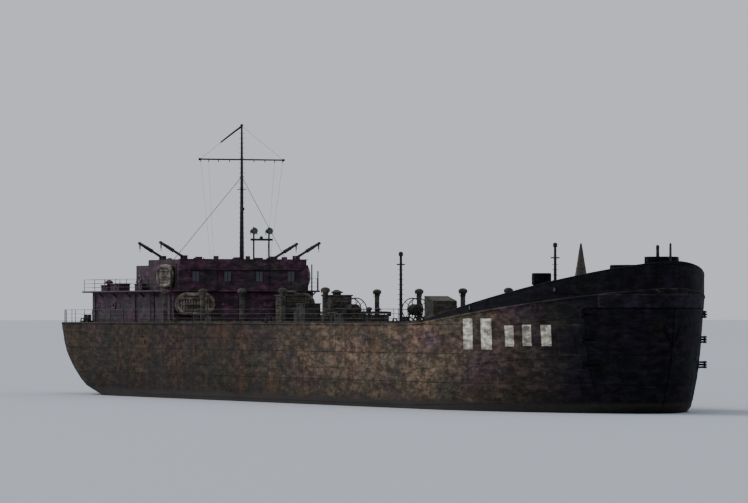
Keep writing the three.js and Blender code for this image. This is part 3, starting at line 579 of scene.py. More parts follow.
# Lines of the hull, as the CAD has them

hullLines = {
    "stem": 5.0, "length": 10.0, "deck": 0.767, "plate": 0.010, "half": 0.762, "sheer": 2.4, "power": 1.1,
    "deckRise": 0.225, "railRise": 0.390, "sternStart": 7.6, "sternRise": 0.33, "entrance": 2.09, "run": 0.58,
    "fine": 1.22,
}


def sheerShare(x):
    aft = hullLines["stem"] - x
    return max(0, (hullLines["sheer"] - aft) / hullLines["sheer"]) ** hullLines["power"]


def deckLine(x):
    return hullLines["deck"] + hullLines["deckRise"] * sheerShare(x)


def onDeck(x, y, lift=0):
    return x, y, deckLine(x) + lift


def railLine(x):
    return hullLines["deck"] + hullLines["railRise"] * sheerShare(x)


def bottomLine(x):
    h = hullLines
    along = max(0, (h["stem"] - x - h["sternStart"]) / (h["length"] - h["sternStart"]))
    return h["sternRise"] * math.sin(min(1, along) * math.pi / 2) ** 1.2


def depthShare(x, z):
    low = bottomLine(x)
    return (z - low) / (deckLine(x) - hullLines["plate"] - low)


def depthHeight(x, share):
    low = bottomLine(x)
    return low + share * (deckLine(x) - hullLines["plate"] - low)


# Hull

shellCut = {"steep": 0.12, "ahead": 0.985, "skegFore": -2.4, "skegHalf": 0.34}  # what isn't an outer side
shellNodes = ["hull_bow", "hull_stern", "hull_bottom", "wing_wall_port", "wing_wall_starboard"]


def keepBetween(bm, axis, low, high):
    for place, way in ((low, -1), (high, 1)):
        normal = [0, 0, 0]
        spot = [0, 0, 0]
        normal[axis] = way
        spot[axis] = place
        bmesh.ops.bisect_plane(bm, geom=bm.verts[:] + bm.edges[:] + bm.faces[:], dist=1e-6, plane_co=spot,
                               plane_no=normal, clear_outer=True)


# The outer sides of the shell alone, between two lines that follow the sheer
def shellSides(names, low, high, fore=6, aft=-6):
    bm = bmesh.new()
    for name in names:
        evenCopy(bm, name)
    inner = []
    for f in bm.faces:
        middle = f.calc_center_median()
        flat = abs(f.normal.y) < shellCut["steep"] or abs(f.normal.x) > shellCut["ahead"]
        onSkeg = middle.x < shellCut["skegFore"] and abs(middle.y) < shellCut["skegHalf"]
        if f.normal.y * middle.y <= 0 or flat or onSkeg:
            inner.append(f)
    bmesh.ops.delete(bm, geom=inner, context="FACES")
    for v in bm.verts:
        v.co.z = depthShare(v.co.x, v.co.z)
    keepBetween(bm, 2, low, high)
    for v in bm.verts:
        v.co.z = depthHeight(v.co.x, v.co.z)
    keepBetween(bm, 0, aft, fore)
    return bm


# Gives an open skin its thickness, outwards
def thickened(bm, thick):
    bmesh.ops.remove_doubles(bm, verts=bm.verts, dist=0.0005)
    bm.normal_update()
    outward = {tuple(round(c, 6) for c in v.co): v.normal.copy() for v in bm.verts}
    grown = bmesh.ops.extrude_face_region(bm, geom=bm.faces[:])["geom"]
    for v in grown:
        if isinstance(v, bmesh.types.BMVert):
            v.co += outward[tuple(round(c, 6) for c in v.co)] * thick


strakes = {"bands": [(0.30, 0.476), (0.61, 0.74), (0.87, 0.985)],  # shares of the depth, bottom to deck
           "doorBands": 2, "hullFore": 4.46, "doorAft": 4.60, "thick": 0.0022}
marks = {
    # Plain white bars where the photograph has a number: (aft from the stem, width, low, high)
    "bars": [(1.29, 0.12, 0.600, 0.800), (1.51, 0.12, 0.600, 0.800),
             (0.72, 0.085, 0.625, 0.760), (0.89, 0.085, 0.625, 0.760), (1.06, 0.085, 0.620, 0.755)],
    "thick": 0.0012,
}


def makeHullSkin():
    for name in shellNodes + ["rudder_port", "rudder_starboard"]:
        smoothNode(name, 30, even=True)
    for i, (low, high) in enumerate(strakes["bands"]):
        onDoors = i < strakes["doorBands"]
        bm = shellSides(shellNodes, low, high, strakes["hullFore"] if onDoors else 6)
        thickened(bm, strakes["thick"])
        finishPiece(f"strake_{i + 1}", bm, "ship", "hull_paint", smooth=30)
        for word in ("port", "starboard") if onDoors else ():
            bm = shellSides([f"bow_door_{word}"], low, high, aft=strakes["doorAft"])
            thickened(bm, strakes["thick"])
            finishPiece(f"door_strake_{i + 1}_{word}", bm, f"bow_door_{word}", "bow_paint", smooth=30)
    for i, (aft, width, low, high) in enumerate(marks["bars"]):
        fore = hullLines["stem"] - aft
        bm = shellSides(["hull_bow"], 0.2, 0.995, fore, fore - width)
        keepBetween(bm, 2, low, high)
        thickened(bm, strakes["thick"] + marks["thick"])
        finishPiece(f"white_bar_{i + 1}", bm, "ship", "hull_paint", "white_paint")


makeHullSkin()
print("hull ready")


# The outer surface of some nodes, to set fittings on
def surfaceOf(names):
    bm = bmesh.new()
    for name in names:
        bm.from_mesh(nodes[name].data)
    tree = BVHTree.FromBMesh(bm)
    bm.free()
    return tree


def castOn(tree, start, way):
    spot, normal = tree.ray_cast(Vector(start), Vector(way).normalized())[:2]
    return spot, normal if normal.dot(Vector(way)) < 0 else -normal


def onSide(tree, x, z, side):
    return castOn(tree, (x, side * 3, z), (0, -side, 0))


# A ring set on a surface, with a plate or a pane in it
def addPort(rims, panes, spot, normal, radius, thick=0.0024):
    addHoop(rims, spot + normal * 0.001, normal, radius, thick, 20)
    addRod(panes, spot - normal * 0.003, spot + normal * 0.0008, radius, sides=20)


# An open mouth in the plating: a thick rim round a dark pane, painted shade in the opening
def addMouth(rims, panes, spot, normal, radius, thick, sides):
    addHoop(rims, spot, normal, radius, thick, sides, 8)
    addRod(panes, spot - normal * 0.004, spot + normal * 0.001, radius, sides=20)


# The edge of the deck, from the stem or from x aft to the middle of the stern
def deckEdge(side, inset=0.0, fore=5.0, aft=-5.0, step=0.2):
    h = hullLines
    half = h["half"] - inset
    points = []
    turns = [math.pi / 2 * i / 16 for i in range(1, 17)]
    for turn in turns:
        points.append((h["stem"] - inset - (h["entrance"] - inset) * (1 - math.cos(turn)),
                       half * math.sin(turn) ** h["fine"]))
    sternX = h["stem"] - h["length"] + h["run"]
    x = h["stem"] - h["entrance"] - step
    while x > sternX:
        points.append((x, half))
        x -= step
    for turn in reversed(turns):
        points.append((sternX - (h["run"] - inset) * math.cos(turn), half * math.sin(turn) ** h["fine"]))
    return [(x, side * y) for x, y in points if aft - 1e-6 <= x <= fore + 1e-6]


hullFittings = {
    "fender": {"radius": 0.0055, "drop": 0.008},
    "bilgeKeel": {"fore": 1.6, "aft": -2.2, "z": 0.045, "out": 0.024, "thick": 0.008, "runs": 12},
    "portholes": {"fore": -1.95, "aft": -4.1, "step": 0.31, "z": 0.615, "radius": 0.010},
    "scuppers": {"fore": 2.33, "aft": -4.2, "step": 0.61, "z": 0.715, "width": 0.030, "height": 0.010, "deep": 0.006},
    "hawse": {"x": 4.15, "z": 0.865, "radius": 0.026, "thick": 0.007},
    "discharges": {"places": [(1.4, 0.34), (-0.4, 0.31), (-2.2, 0.36), (-2.55, 0.33), (-3.3, 0.38)],
                   "radius": 0.011, "thick": 0.003},
}


def makeHullFittings():
    s = hullFittings
    shell = surfaceOf(shellNodes)
    bm = bmesh.new()
    edge = deckEdge(1) + list(reversed(deckEdge(-1)))
    addSweep(bm, [onDeck(x, y, -s["fender"]["drop"]) for x, y in edge], s["fender"]["radius"], 8, closed=True)
    finishPiece("fender_bar", bm, "ship", "hull_paint")

    bm, panes = bmesh.new(), bmesh.new()
    for side in (1, -1):
        p = s["portholes"]
        for x in placesAlong(p["fore"], p["aft"], -p["step"]):
            addPort(bm, panes, *onSide(shell, x, p["z"], side), p["radius"])
        p = s["hawse"]
        # The hawse opening: a rim round a dark disc of painted shade
        addMouth(bm, panes, *onSide(shell, p["x"], p["z"], side), p["radius"], p["thick"], 28)
        p = s["discharges"]
        for x, z in p["places"]:
            addHoop(bm, *onSide(shell, x, z, side), p["radius"], p["thick"], 16)
        p = s["scuppers"]
        half = Vector((p["width"] / 2, 0, 0))
        for x in placesAlong(p["fore"], p["aft"], -p["step"]):
            spot = onSide(shell, x, p["z"], side)[0]
            addBeam(bm, spot - half, spot + half, p["deep"], p["height"])
        p = s["bilgeKeel"]
        places = [p["fore"] + (p["aft"] - p["fore"]) * i / p["runs"] for i in range(p["runs"] + 1)]
        spots = [onSide(shell, x, p["z"], side)[0] for x in places]
        for a, b in zip(spots, spots[1:]):
            addBeam(bm, a, b, p["out"] * 2, p["thick"])
    finishPiece("hull_fittings", bm, "ship", "hull_paint")
    # Glass of the portholes, and painted shade in the hawse openings
    finishPiece("hull_panes_and_shade", panes, "ship", "hull_paint", "glass_and_shade")


doorFittings = {
    "ahead": 7,  # where the rays on to the doors' faces start
    "eyes": {"y": 0.10, "heights": [0.40, 0.74], "radius": 0.010, "thick": 0.0026, "plate": 0.022},
    "studs": {"across": [0.05, 0.16, 0.27], "heights": [0.30, 0.42, 0.54, 0.66, 0.78], "radius": 0.006},
    "frames": {"behind": 4.30, "heights": [0.26, 0.38, 0.56, 0.72], "across": [0.04, 0.12, 0.20, 0.27, 0.33, 0.38],
               "thick": 0.008},
    "treads": {"foot": (4.456, 0, 0.352), "lean": 80, "first": 0.05, "step": 0.034, "count": 13, "half": 0.17},
}


def makeDoorFittings():
    s = doorFittings

    def leaf(side, word):
        name = f"bow_door_{word}"
        smoothNode(name)
        shell = surfaceOf([name])
        bm = bmesh.new()
        e = s["eyes"]
        for z in e["heights"]:
            spot, normal = castOn(shell, (s["ahead"], side * e["y"], z), (-1, 0, 0))
            addHoop(bm, spot + normal * 0.010, (0, 1, 0), e["radius"], e["thick"], 16)
            addBeam(bm, spot - normal * 0.004, spot + normal * 0.004, e["plate"], e["plate"])
        for y in s["studs"]["across"]:
            for z in s["studs"]["heights"]:
                spot, normal = castOn(shell, (s["ahead"], side * y, z), (-1, 0, 0))
                addRod(bm, spot - normal * 0.002, spot + normal * 0.003, s["studs"]["radius"], sides=10)
        finishPiece(f"door_fittings_{word}", bm, name, "bow_paint")

    def frames(side, word):
        shell = surfaceOf([f"bow_door_{word}"])
        f = s["frames"]
        bm = bmesh.new()
        for z in f["heights"]:
            starts = [Vector((f["behind"], side * y, z)) for y in f["across"]]
            spots = [shell.ray_cast(start, Vector((1, 0, 0)))[0] for start in starts]
            spots = [spot for spot in spots if spot]
            for a, b in zip(spots, spots[1:]):
                addBeam(bm, a, b, f["thick"], f["thick"], upright)
        finishPiece(f"door_frames_{word}", bm, f"bow_door_{word}", "bow_paint")

    bothSides(leaf)
    bothSides(frames)

    smoothNode("bow_ramp")
    board = surfaceOf(["bow_ramp"])
    t = s["treads"]
    lean = math.radians(t["lean"])
    up = Vector((math.cos(lean), 0, math.sin(lean)))
    aftward = Vector((-math.sin(lean), 0, math.cos(lean)))
    half = Vector((0, t["half"], 0))
    bm = bmesh.new()
    for i in range(t["count"]):
        middle = Vector(t["foot"]) + up * (t["first"] + t["step"] * i)
        spot = castOn(board, middle + aftward * 0.2, -aftward)[0]
        addBeam(bm, spot - half, spot + half, 0.005, 0.007, aftward)
    finishPiece("ramp_treads", bm, "bow_ramp", "deck_gear")


bulwarkTrim = {
    "aft": 2.72, "rail": 0.0062,
    "knees": {"fore": 4.9, "aft": 3.0, "step": 0.15},
    "least": 0.03,  # height of bulwark that gets a knee
    "chocks": {"places": [3.45, 4.32], "radius": 0.018, "thick": 0.005},
}


def makeBulwark():
    s = bulwarkTrim
    smoothNode("bulwark")
    outer = surfaceOf(["bulwark"])
    bm, panes = bmesh.new(), bmesh.new()
    starboard, port = (deckEdge(side, 0.006, aft=s["aft"], step=0.1) for side in (-1, 1))
    path = list(reversed(starboard)) + port
    addSweep(bm, [(x, y, railLine(x)) for x, y in path], s["rail"], 8)
    for side in (1, -1):
        tops, feet = (deckEdge(side, inset, **s["knees"]) for inset in (0.013, 0.05))
        for top, foot in zip(tops, feet):
            if railLine(top[0]) - deckLine(top[0]) > s["least"]:
                addBeam(bm, onDeck(*foot), (*top, railLine(top[0]) - 0.012), 0.006, 0.012, (1, 0, 0))
        for x in s["chocks"]["places"]:
            spot, normal = onSide(outer, x, (deckLine(x) + railLine(x)) / 2 + 0.004, side)
            addMouth(bm, panes, spot, normal, s["chocks"]["radius"], s["chocks"]["thick"], 24)
    finishPiece("bulwark_trim", bm, "ship", "bow_paint")
    # Dark discs in the chock openings: painted shade
    finishPiece("bulwark_chock_shade", panes, "ship", "bow_paint", "glass_and_shade")


tankDeck = {
    "aft": -2.9, "step": 0.25, "count": 27, "wall": 0.446, "floor": 0.372, "top": 0.752,
    "beam": {"half": 0.44, "z": 0.748},
    "sockets": {"fore": 0.12, "across": [-0.3, -0.1, 0.1, 0.3], "z": 0.369},
}


# Frames along the walls of the tank deck, and sockets in its floor
def makeTankDeck():
    s = tankDeck
    bm = bmesh.new()
    for i in range(s["count"]):
        x = s["aft"] + i * s["step"]
        for y in (s["wall"], -s["wall"]):
            addBeam(bm, (x, y, s["floor"]), (x, y, s["top"]), 0.012, 0.020, (1, 0, 0))
        half, z = s["beam"]["half"], s["beam"]["z"]
        addBeam(bm, (x, -half, z), (x, half, z), 0.012, 0.016, (1, 0, 0))
        spot = x + s["sockets"]["fore"]
        for y in s["sockets"]["across"]:
            addRod(bm, (spot, y, s["sockets"]["z"]), (spot, y, s["floor"]), 0.010, 0.008, 8)
    finishPiece("tank_deck_frames", bm, "ship", "hull_paint")


makeTankDeck()
makeHullFittings()
makeDoorFittings()
makeBulwark()
print("hull fittings ready")


# Main deck: sockets for lashings, rails, ventilators, hatch, and what stands on the deck

deckTop = hullLines["deck"]
railWires = (3, 0.0024, 0.0011)  # how many wires, and the radius of stanchions and wires

deckFittings = {
    "sockets": {"fore": 2.5, "aft": -2.1, "step": 0.28, "across": [-0.54, -0.36, -0.18, 0, 0.18, 0.36, 0.54]},
    "rail": {"inset": 0.016, "fore": 2.6, "turn": -4.45, "aft": -4.97, "height": 0.10, "step": 0.3},
    "vents": {"places": [0.9, 0.1, -0.7, -1.5, -2.3], "y": 0.699,
              "strip": (2.58, -2.8, 0.017, 0.012),  # (fore, aft, half width, thickness)
              "profile": [(0, 0), (0.028, 0), (0.028, 0.006), (0.019, 0.009), (0.018, 0.206), (0.021, 0.214),
                          (0.030, 0.216), (0.033, 0.222), (0.033, 0.232), (0.029, 0.240), (0.016, 0.248),
                          (0, 0.250)]},
    "fanHouses": {"fore": -0.96, "aft": -1.12, "near": 0.10, "far": 0.27, "height": 0.205,
                  "cowl": [(0, 0), (0.03, 0), (0.03, 0.012), (0.045, 0.014), (0.045, 0.022), (0.02, 0.030),
                           (0, 0.031)]},
    "reels": {"x": 0.30, "y": 0.24, "radius": 0.086, "drum": 0.034, "half": 0.05},
    "companion": {"fore": 1.04, "aft": 0.88, "near": 0.06, "far": 0.24, "height": 0.19, "roofFall": 0.035,
                  "hinges": [0.79, 0.90]},
    "bollards": [(2.1, 0.60), (-0.35, 0.60), (-1.9, 0.60)],
    "fairleads": [(2.2, 0.725), (-0.2, 0.725), (-2.05, 0.725), (-4.1, 0.725)],
    # Lockers: (x, y, length, width, height)
    "lockers": [(1.75, 0.50, 0.16, 0.07, 0.07), (-1.45, 0.48, 0.18, 0.08, 0.075), (-1.95, -0.45, 0.14, 0.08, 0.07),
                (-2.20, 0.30, 0.12, 0.10, 0.085), (0.75, -0.50, 0.16, 0.07, 0.065), (0.16, 0.48, 0.20, 0.12, 0.150),
                (0.02, -0.47, 0.16, 0.12, 0.140), (0.46, 0.42, 0.10, 0.10, 0.120), (-0.70, -0.20, 0.08, 0.16, 0.110)],
    "manholes": {"places": [(1.35, 0.20), (1.35, -0.20), (-0.72, 0.42), (-0.72, -0.42), (-1.7, 0.15), (2.2, 0.15),
                            (2.2, -0.15)],
                 "profile": [(0, 0), (0.034, 0), (0.034, 0.010), (0.029, 0.013), (0, 0.015)]},
    "airPipes": {"places": [(-1.3, 0.62), (-0.1, -0.62), (1.5, 0.62), (1.5, -0.62)],
                 "profile": [(0, 0), (0.014, 0), (0.011, 0.010), (0.011, 0.075), (0.015, 0.085), (0.022, 0.098),
                             (0.021, 0.106), (0, 0.112)]},
}


def isOnFitting(x, y):
    s = deckFittings["fanHouses"]
    hatch = -0.66 < x < 0.0 and abs(y) < 0.26
    houses = s["aft"] - 0.04 < x < s["fore"] + 0.04 and 0.05 < abs(y) < 0.32
    return hatch or houses or math.hypot(x - 0.6, y) < 0.04


def makeDecks():
    for name in ("main_deck_aft", "main_deck_middle", "main_deck_fore", "forecastle_deck"):
        smoothNode(name)
    s = deckFittings["sockets"]
    bm = bmesh.new()
    for x in placesAlong(s["fore"], s["aft"], -s["step"]):
        for y in s["across"]:
            if not isOnFitting(x, y):
                addRod(bm, onDeck(x, y, -0.001), onDeck(x, y, 0.002), 0.011, 0.009, 8)
    finishPiece("deck_sockets", bm, "ship", "deck_paint")

    s = deckFittings["rail"]
    bm = bmesh.new()
    side = deckEdge(1, s["inset"], s["fore"], s["turn"], s["step"])
    side += deckEdge(1, s["inset"], s["turn"], s["aft"])[::3]
    path = side + [(x, -y) for x, y in reversed(side)]
    addRails(bm, [onDeck(x, y) for x, y in path], s["height"], *railWires)
    finishPiece("deck_rails", bm, "ship", "spar_paint")


def makeVents():
    s = deckFittings["vents"]

    def row(side, word):
        bm = bmesh.new()
        y = side * s["y"]
        fore, aft, half, thick = s["strip"]
        addBox(bm, (aft, y - half, deckTop), (fore, y + half, deckTop + thick))
        for x in s["places"]:
            base = Vector((x, y, deckTop))
            addLathe(bm, base, s["profile"], 24)
            for turn in range(3):
                out = outwards(turn * 2.094 + 0.5)
                foot = base + out * 0.021 + upright * 0.19
                addRod(bm, foot, foot + out * 0.010 + upright * 0.030, 0.0022, sides=6)
            addHoop(bm, base + upright * 0.10, upright, 0.0185, 0.0022, 20)
        finishPiece(f"vents_{word}", bm, "ship", "deck_paint", replaced=(f"deck_vents_{word}",))

    bothSides(row)


hatchTrim = {
    "sides": {"aft": -0.53, "step": 0.084, "count": 6, "foot": (0.196, 0.768), "head": (0.194, 0.818)},
    "ends": [(-0.572, -1), (-0.068, 1)], "endRibs": [-0.15, -0.05, 0.05, 0.15],
    "leafRibs": [-0.545, -0.445, -0.32, -0.195, -0.095], "leafEyes": [-0.495, -0.145], "leafTop": 0.8465,
}


def makeHatch():
    s = hatchTrim
    bm = bmesh.new()
    ribs = s["sides"]
    for side in (1, -1):
        for i in range(ribs["count"]):
            x = ribs["aft"] + i * ribs["step"]
            (footY, footZ), (headY, headZ) = ribs["foot"], ribs["head"]
            addBeam(bm, (x, side * footY, footZ), (x, side * headY, headZ), 0.006, 0.012, (1, 0, 0))
    for x, out in s["ends"]:
        for y in s["endRibs"]:
            addBeam(bm, (x + out * 0.004, y, 0.768), (x + out * 0.003, y, 0.826), 0.006, 0.012)
            addRod(bm, (x + out * 0.008, y, 0.802), (x + out * 0.008, y, 0.836), 0.0035, sides=8)
    finishPiece("hatch_stiffeners", bm, "ship", "deck_paint")

    def leaf(side, word):
        bm = bmesh.new()
        z = s["leafTop"]
        for x in s["leafRibs"]:
            addBeam(bm, (x, side * 0.012, z), (x, side * 0.190, z), 0.010, 0.006, (1, 0, 0))
        for x in s["leafEyes"]:
            addHoop(bm, (x, side * 0.03, z + 0.001), (0, 1, 0), 0.007, 0.0016, 12)
        finishPiece(f"hatch_leaf_ribs_{word}", bm, f"hatch_cover_{word}", "deck_paint")

    bothSides(leaf)


# A cable reel between two stands
def addReel(bm, x, y, z, radius, drum, half):
    for out in (-1, 1):
        ring = Vector((x + out * half, y, z))
        addHoop(bm, ring, (1, 0, 0), radius - 0.004, 0.004, 28)
        for i in range(4):
            a = i * math.pi / 4
            arm = Vector((0, math.cos(a), math.sin(a))) * (radius - 0.004)
            addRod(bm, ring - arm, ring + arm, 0.0025, sides=6)
        stand = ring.x + out * 0.008
        for lean in (-0.05, 0.05):
            addBeam(bm, (stand, y + lean, deckTop), (stand, y, z), 0.006, 0.010, (1, 0, 0))
    for i in range(9):
        turn = x - half + 0.008 + i * (2 * half - 0.016) / 8
        addHoop(bm, (turn, y, z), (1, 0, 0), drum, 0.0062, 20)
    addRod(bm, (x - half - 0.016, y, z), (x + half + 0.016, y, z), 0.006, sides=10)
    addRod(bm, (x - half, y, z), (x + half, y, z), drum, sides=20)


# Posts in pairs on a foot plate, with caps
def addBollards(bm, x, y, z, along=(1, 0, 0), apart=0.06, radius=0.012, height=0.045):
    along = Vector(along)
    middle = Vector((x, y, z))
    addBeam(bm, middle - along * apart, middle + along * apart, 0.034, 0.008, along.cross(upright))
    for way in (-1, 1):
        foot = middle + along * apart / 2 * way
        addLathe(bm, foot, [(0, 0), (radius, 0), (radius, height - 0.008), (radius + 0.003, height - 0.006),
                            (radius + 0.003, height - 0.001), (radius, height), (0, height)], 16)


def addFairlead(bm, x, y, z):
    addBeam(bm, (x - 0.04, y, z + 0.003), (x + 0.04, y, z + 0.003), 0.022, 0.006)
    for way in (-1, 1):
        addSweep(bm, [(x + way * 0.034, y, z), (x + way * 0.036, y, z + 0.018), (x + way * 0.028, y, z + 0.027),
                      (x + way * 0.014, y, z + 0.030)], 0.0055, 8)


# A box with a lid that stands out all round
def addLidded(bm, low, high, lid=0.008, over=0.004):
    joint = high[2] - lid
    addBox(bm, low, (high[0], high[1], joint))
    addBox(bm, (low[0] - over, low[1] - over, joint), (high[0] + over, high[1] + over, high[2]))


def addLocker(bm, x, y, z, length, width, height):
    addLidded(bm, (x - length / 2, y - width / 2, z), (x + length / 2, y + width / 2, z + height))
    for strap in (x - length * 0.3, x + length * 0.3):
        addBox(bm, (strap - 0.006, y - width / 2 - 0.007, z + height - 0.020),
               (strap + 0.006, y + width / 2 + 0.007, z + height - 0.004))


def makeFanHouses():
    s = deckFittings["fanHouses"]
    fore, aft, top = s["fore"], s["aft"], deckTop + s["height"]
    bm = bmesh.new()
    for side in (1, -1):
        near, far = sorted((side * s["near"], side * s["far"]))
        addLidded(bm, (aft, near, deckTop), (fore, far, top), 0.010, 0.008)
        for i in range(6):
            z = 0.80 + i * 0.024
            for x in (aft - 0.001, fore + 0.001):
                addBeam(bm, (x, near + 0.02, z), (x, far - 0.02, z), 0.004, 0.010, (1, 0, 0.8))
            y = side * s["far"]
            addBeam(bm, (aft + 0.02, y, z), (fore - 0.02, y, z), 0.004, 0.010, (0, 1, 0.8))
        addLathe(bm, ((fore + aft) / 2, (near + far) / 2, top), s["cowl"], 24)
    finishPiece("fan_houses", bm, "ship", "deck_paint")


def makeCompanionway():
    s = deckFittings["companion"]
    fore, aft, near, far, top = s["fore"], s["aft"], s["near"], s["far"], deckTop + s["height"]
    bm = bmesh.new()
    addBox(bm, (aft, near, deckTop), (fore, far, top - 0.05))
    for v in addBox(bm, (aft, near, top - 0.052), (fore, far, top)):
        if v.co.z > top - 0.01 and v.co.x > fore - 0.01:
            v.co.z -= s["roofFall"]
    addBeam(bm, (aft - 0.002, near + 0.03, 0.845), (aft - 0.002, far - 0.03, 0.845), 0.006, 0.14, (1, 0, 0))
    for z in s["hinges"]:
        addRod(bm, (aft - 0.008, near + 0.028, z - 0.012), (aft - 0.008, near + 0.028, z + 0.012), 0.004, sides=8)
    finishPiece("companionway", bm, "ship", "deck_paint")


def makeDeckGear():
    s = deckFittings
    bm = bmesh.new()
    r = s["reels"]
    for side in (1, -1):
        addReel(bm, r["x"], side * r["y"], deckTop + r["radius"] + 0.008, r["radius"], r["drum"], r["half"])
        for x, y in s["bollards"]:
            addBollards(bm, *onDeck(x, side * y))
        for x, y in s["fairleads"]:
            addFairlead(bm, *onDeck(x, side * y))
    for x, y, *size in s["lockers"]:
        addLocker(bm, *onDeck(x, y), *size)
    for x, y in s["manholes"]["places"]:
        addLathe(bm, onDeck(x, y), s["manholes"]["profile"], 24)
        addHoop(bm, onDeck(x, y, 0.016), upright, 0.012, 0.0016, 16)
    for x, y in s["airPipes"]["places"]:
        addLathe(bm, onDeck(x, y), s["airPipes"]["profile"], 20)
    finishPiece("deck_gear_midships", bm, "ship", "deck_gear")


makeDecks()
makeVents()
makeHatch()
makeFanHouses()
makeCompanionway()
makeDeckGear()
print("main deck ready")


# Skins that are smoothed and not changed
for name in ("mast", "signal_lamps", "jackstaff", "anchor_light_post", "bow_signal_post", "midships_signal_post",
             "propeller_port", "propeller_starboard", "bow_tub", "bow_lookout", "stern_tub", "stern_winch_drum",
             "bow_bitts_port", "bow_bitts_starboard", "stern_bitts_port", "stern_bitts_starboard"):
    smoothNode(name)
print("skins ready")


# A node with its edges rounded off
def bevelNode(name, width, segments=2):
    bm = bmesh.new()
    mergedCopy(bm, name)
    bmesh.ops.dissolve_limit(bm, angle_limit=math.radians(1), verts=bm.verts, edges=bm.edges)
    sharp = [e for e in bm.edges if len(e.link_faces) == 2 and e.calc_face_angle(0) > math.radians(35)]
    bmesh.ops.bevel(bm, geom=sharp, offset=width, segments=segments, affect="EDGES", profile=0.5, material=-1,
                    clamp_overlap=True)
    return finishPiece(name + "_skin", bm, bodyOf[name], slotOf[name], replaced=(name,))


# Forecastle

foreGear = {
    # Tubs: (centre, radius, floor, top, radius of the foot, ribs)
    "tubs": [((4.485, 0, 0), 0.19, 1.035, 1.135, 0.11, 16), ((4.795, 0, 0), 0.105, 1.10, 1.185, 0.06, 12)],
    "sideTubs": {"x": 3.90, "y": 0.42, "radius": 0.060, "wall": 0.004, "floor": 1.005, "top": 1.088, "ribs": 10},
    "capstan": {"x": 4.02, "foot": 0.884, "whelps": 8, "bolts": 6,
                "profile": [(0, 0), (0.062, 0), (0.062, 0.014), (0.058, 0.018), (0.040, 0.020), (0.033, 0.028),
                            (0.031, 0.050), (0.034, 0.072), (0.050, 0.088), (0.054, 0.094), (0.054, 0.104),
                            (0.048, 0.109), (0.014, 0.112), (0, 0.112)]},
    "chain": {"link": 0.0065, "thick": 0.0020, "step": 0.0105, "pipe": (4.30, 0.36), "start": (4.04, 0.060),
              "stopper": (4.17, 0.175, 0.245),
              "mouth": [(0.016, -0.002), (0.030, -0.002), (0.030, 0.006), (0.022, 0.014), (0.016, 0.012),
                        (0.016, -0.002)]},
    "vents": [(3.35, 0.36), (3.35, -0.36), (4.12, 0.30), (4.12, -0.30)],
    "bitts": [(4.05, 0.44), (3.32, 0.56)],
    "hatches": [(3.85, 0.26), (3.85, -0.26)],
    "locker": {"lid": ((2.954, -0.105, 0.874), (3.086, 0.105, 0.882)), "across": [-0.06, 0.06], "handleZ": 0.845},
    "rungPosts": [(3.2, 0.014, 1.20), (0.6, 0.013, 1.18)],  # (x, radius, height of the cross bar)
}


def addChain(bm, path, link, thick, step):
    count = 0
    for start, end in zip(path, path[1:]):
        start, end = Vector(start), Vector(end)
        along = (end - start).normalized()
        side = along.cross(upright).normalized()
        for i in range(int((end - start).length / step)):
            axis = side if count % 2 else side.cross(along)
            addHoop(bm, start + along * step * i, axis, link, thick, 10, 5)
            count += 1


def addMushroom(bm, x, y, z, radius=0.02, height=0.10):
    addLathe(bm, (x, y, z), [(0, 0), (radius * 1.5, 0), (radius * 1.5, 0.004), (radius, 0.007), (radius, height * 0.7),
                             (radius * 1.8, height * 0.74), (radius * 1.85, height * 0.85), (radius * 0.9, height),
                             (0, height * 1.02)], 20)


def makeCapstan():
    s = foreGear["capstan"]
    bm = bmesh.new()
    foot = Vector((s["x"], 0, s["foot"]))
    addLathe(bm, foot, s["profile"], 40)
    for i in range(s["whelps"]):
        out = outwards(2 * math.pi * i / s["whelps"])
        addBeam(bm, foot + out * 0.035 + upright * 0.024, foot + out * 0.036 + upright * 0.084, 0.008, 0.007, out)
        hole = foot + out * 0.044 + upright * 0.099
        addBeam(bm, hole, hole + out * 0.011, 0.007, 0.006)
    for i in range(s["bolts"]):
        bolt = foot + outwards(2 * math.pi * (i + 0.5) / s["bolts"]) * 0.050
        addRod(bm, bolt + upright * 0.012, bolt + upright * 0.021, 0.004, sides=6)
    finishPiece("capstan_head", bm, "ship", "deck_gear", replaced=("capstan",))


def makeAnchorChains():
    s = foreGear["chain"]
    (x, y), (startX, startY), (stopX, stopNear, stopFar) = s["pipe"], s["start"], s["stopper"]
    bm = bmesh.new()
    for side in (1, -1):
        addLathe(bm, onDeck(x, side * y), s["mouth"], 24)
        path = [onDeck(startX, side * startY, 0.014), (x - 0.02, side * (y - 0.025), deckLine(x) + 0.014),
                onDeck(x, side * y, 0.004)]
        addChain(bm, path, s["link"], s["thick"], s["step"])
        addBeam(bm, onDeck(stopX, side * stopNear), onDeck(stopX, side * stopFar), 0.030, 0.024, (1, 0, 0))
    finishPiece("anchor_chains", bm, "ship", "deck_gear")


# Ribs and brackets round a tub, each from (out, height) to (out, height) with its width and thickness
def addTubRibs(bm, centre, count, shift, runs):
    for i in range(count):
        out = outwards(2 * math.pi * (i + shift) / count)
        for (near, low), (far, high), width, thick in runs:
            addBeam(bm, centre + out * near + upright * low, centre + out * far + upright * high, width, thick,
                    (-out.y, out.x, 0))


def addTubTrim(bm, centre, radius, floor, top, foot, ribs):
    centre = Vector(centre)
    addHoop(bm, centre + upright * top, upright, radius - 0.003, 0.0055, 48, 8)
    addHoop(bm, centre + upright * (floor + 0.001), upright, radius, 0.003, 48, 6)
    addHoop(bm, centre + upright * (floor + 0.002), upright, radius * 0.42, 0.004, 32, 6)
    runs = [((radius + 0.001, floor + 0.004), (radius + 0.001, top - 0.006), 0.006, 0.005)]
    if foot:
        runs.append(((foot - 0.004, floor - 0.042), (radius - 0.012, floor - 0.012), 0.005, 0.010))
    addTubRibs(bm, centre, ribs, 0.5, runs)


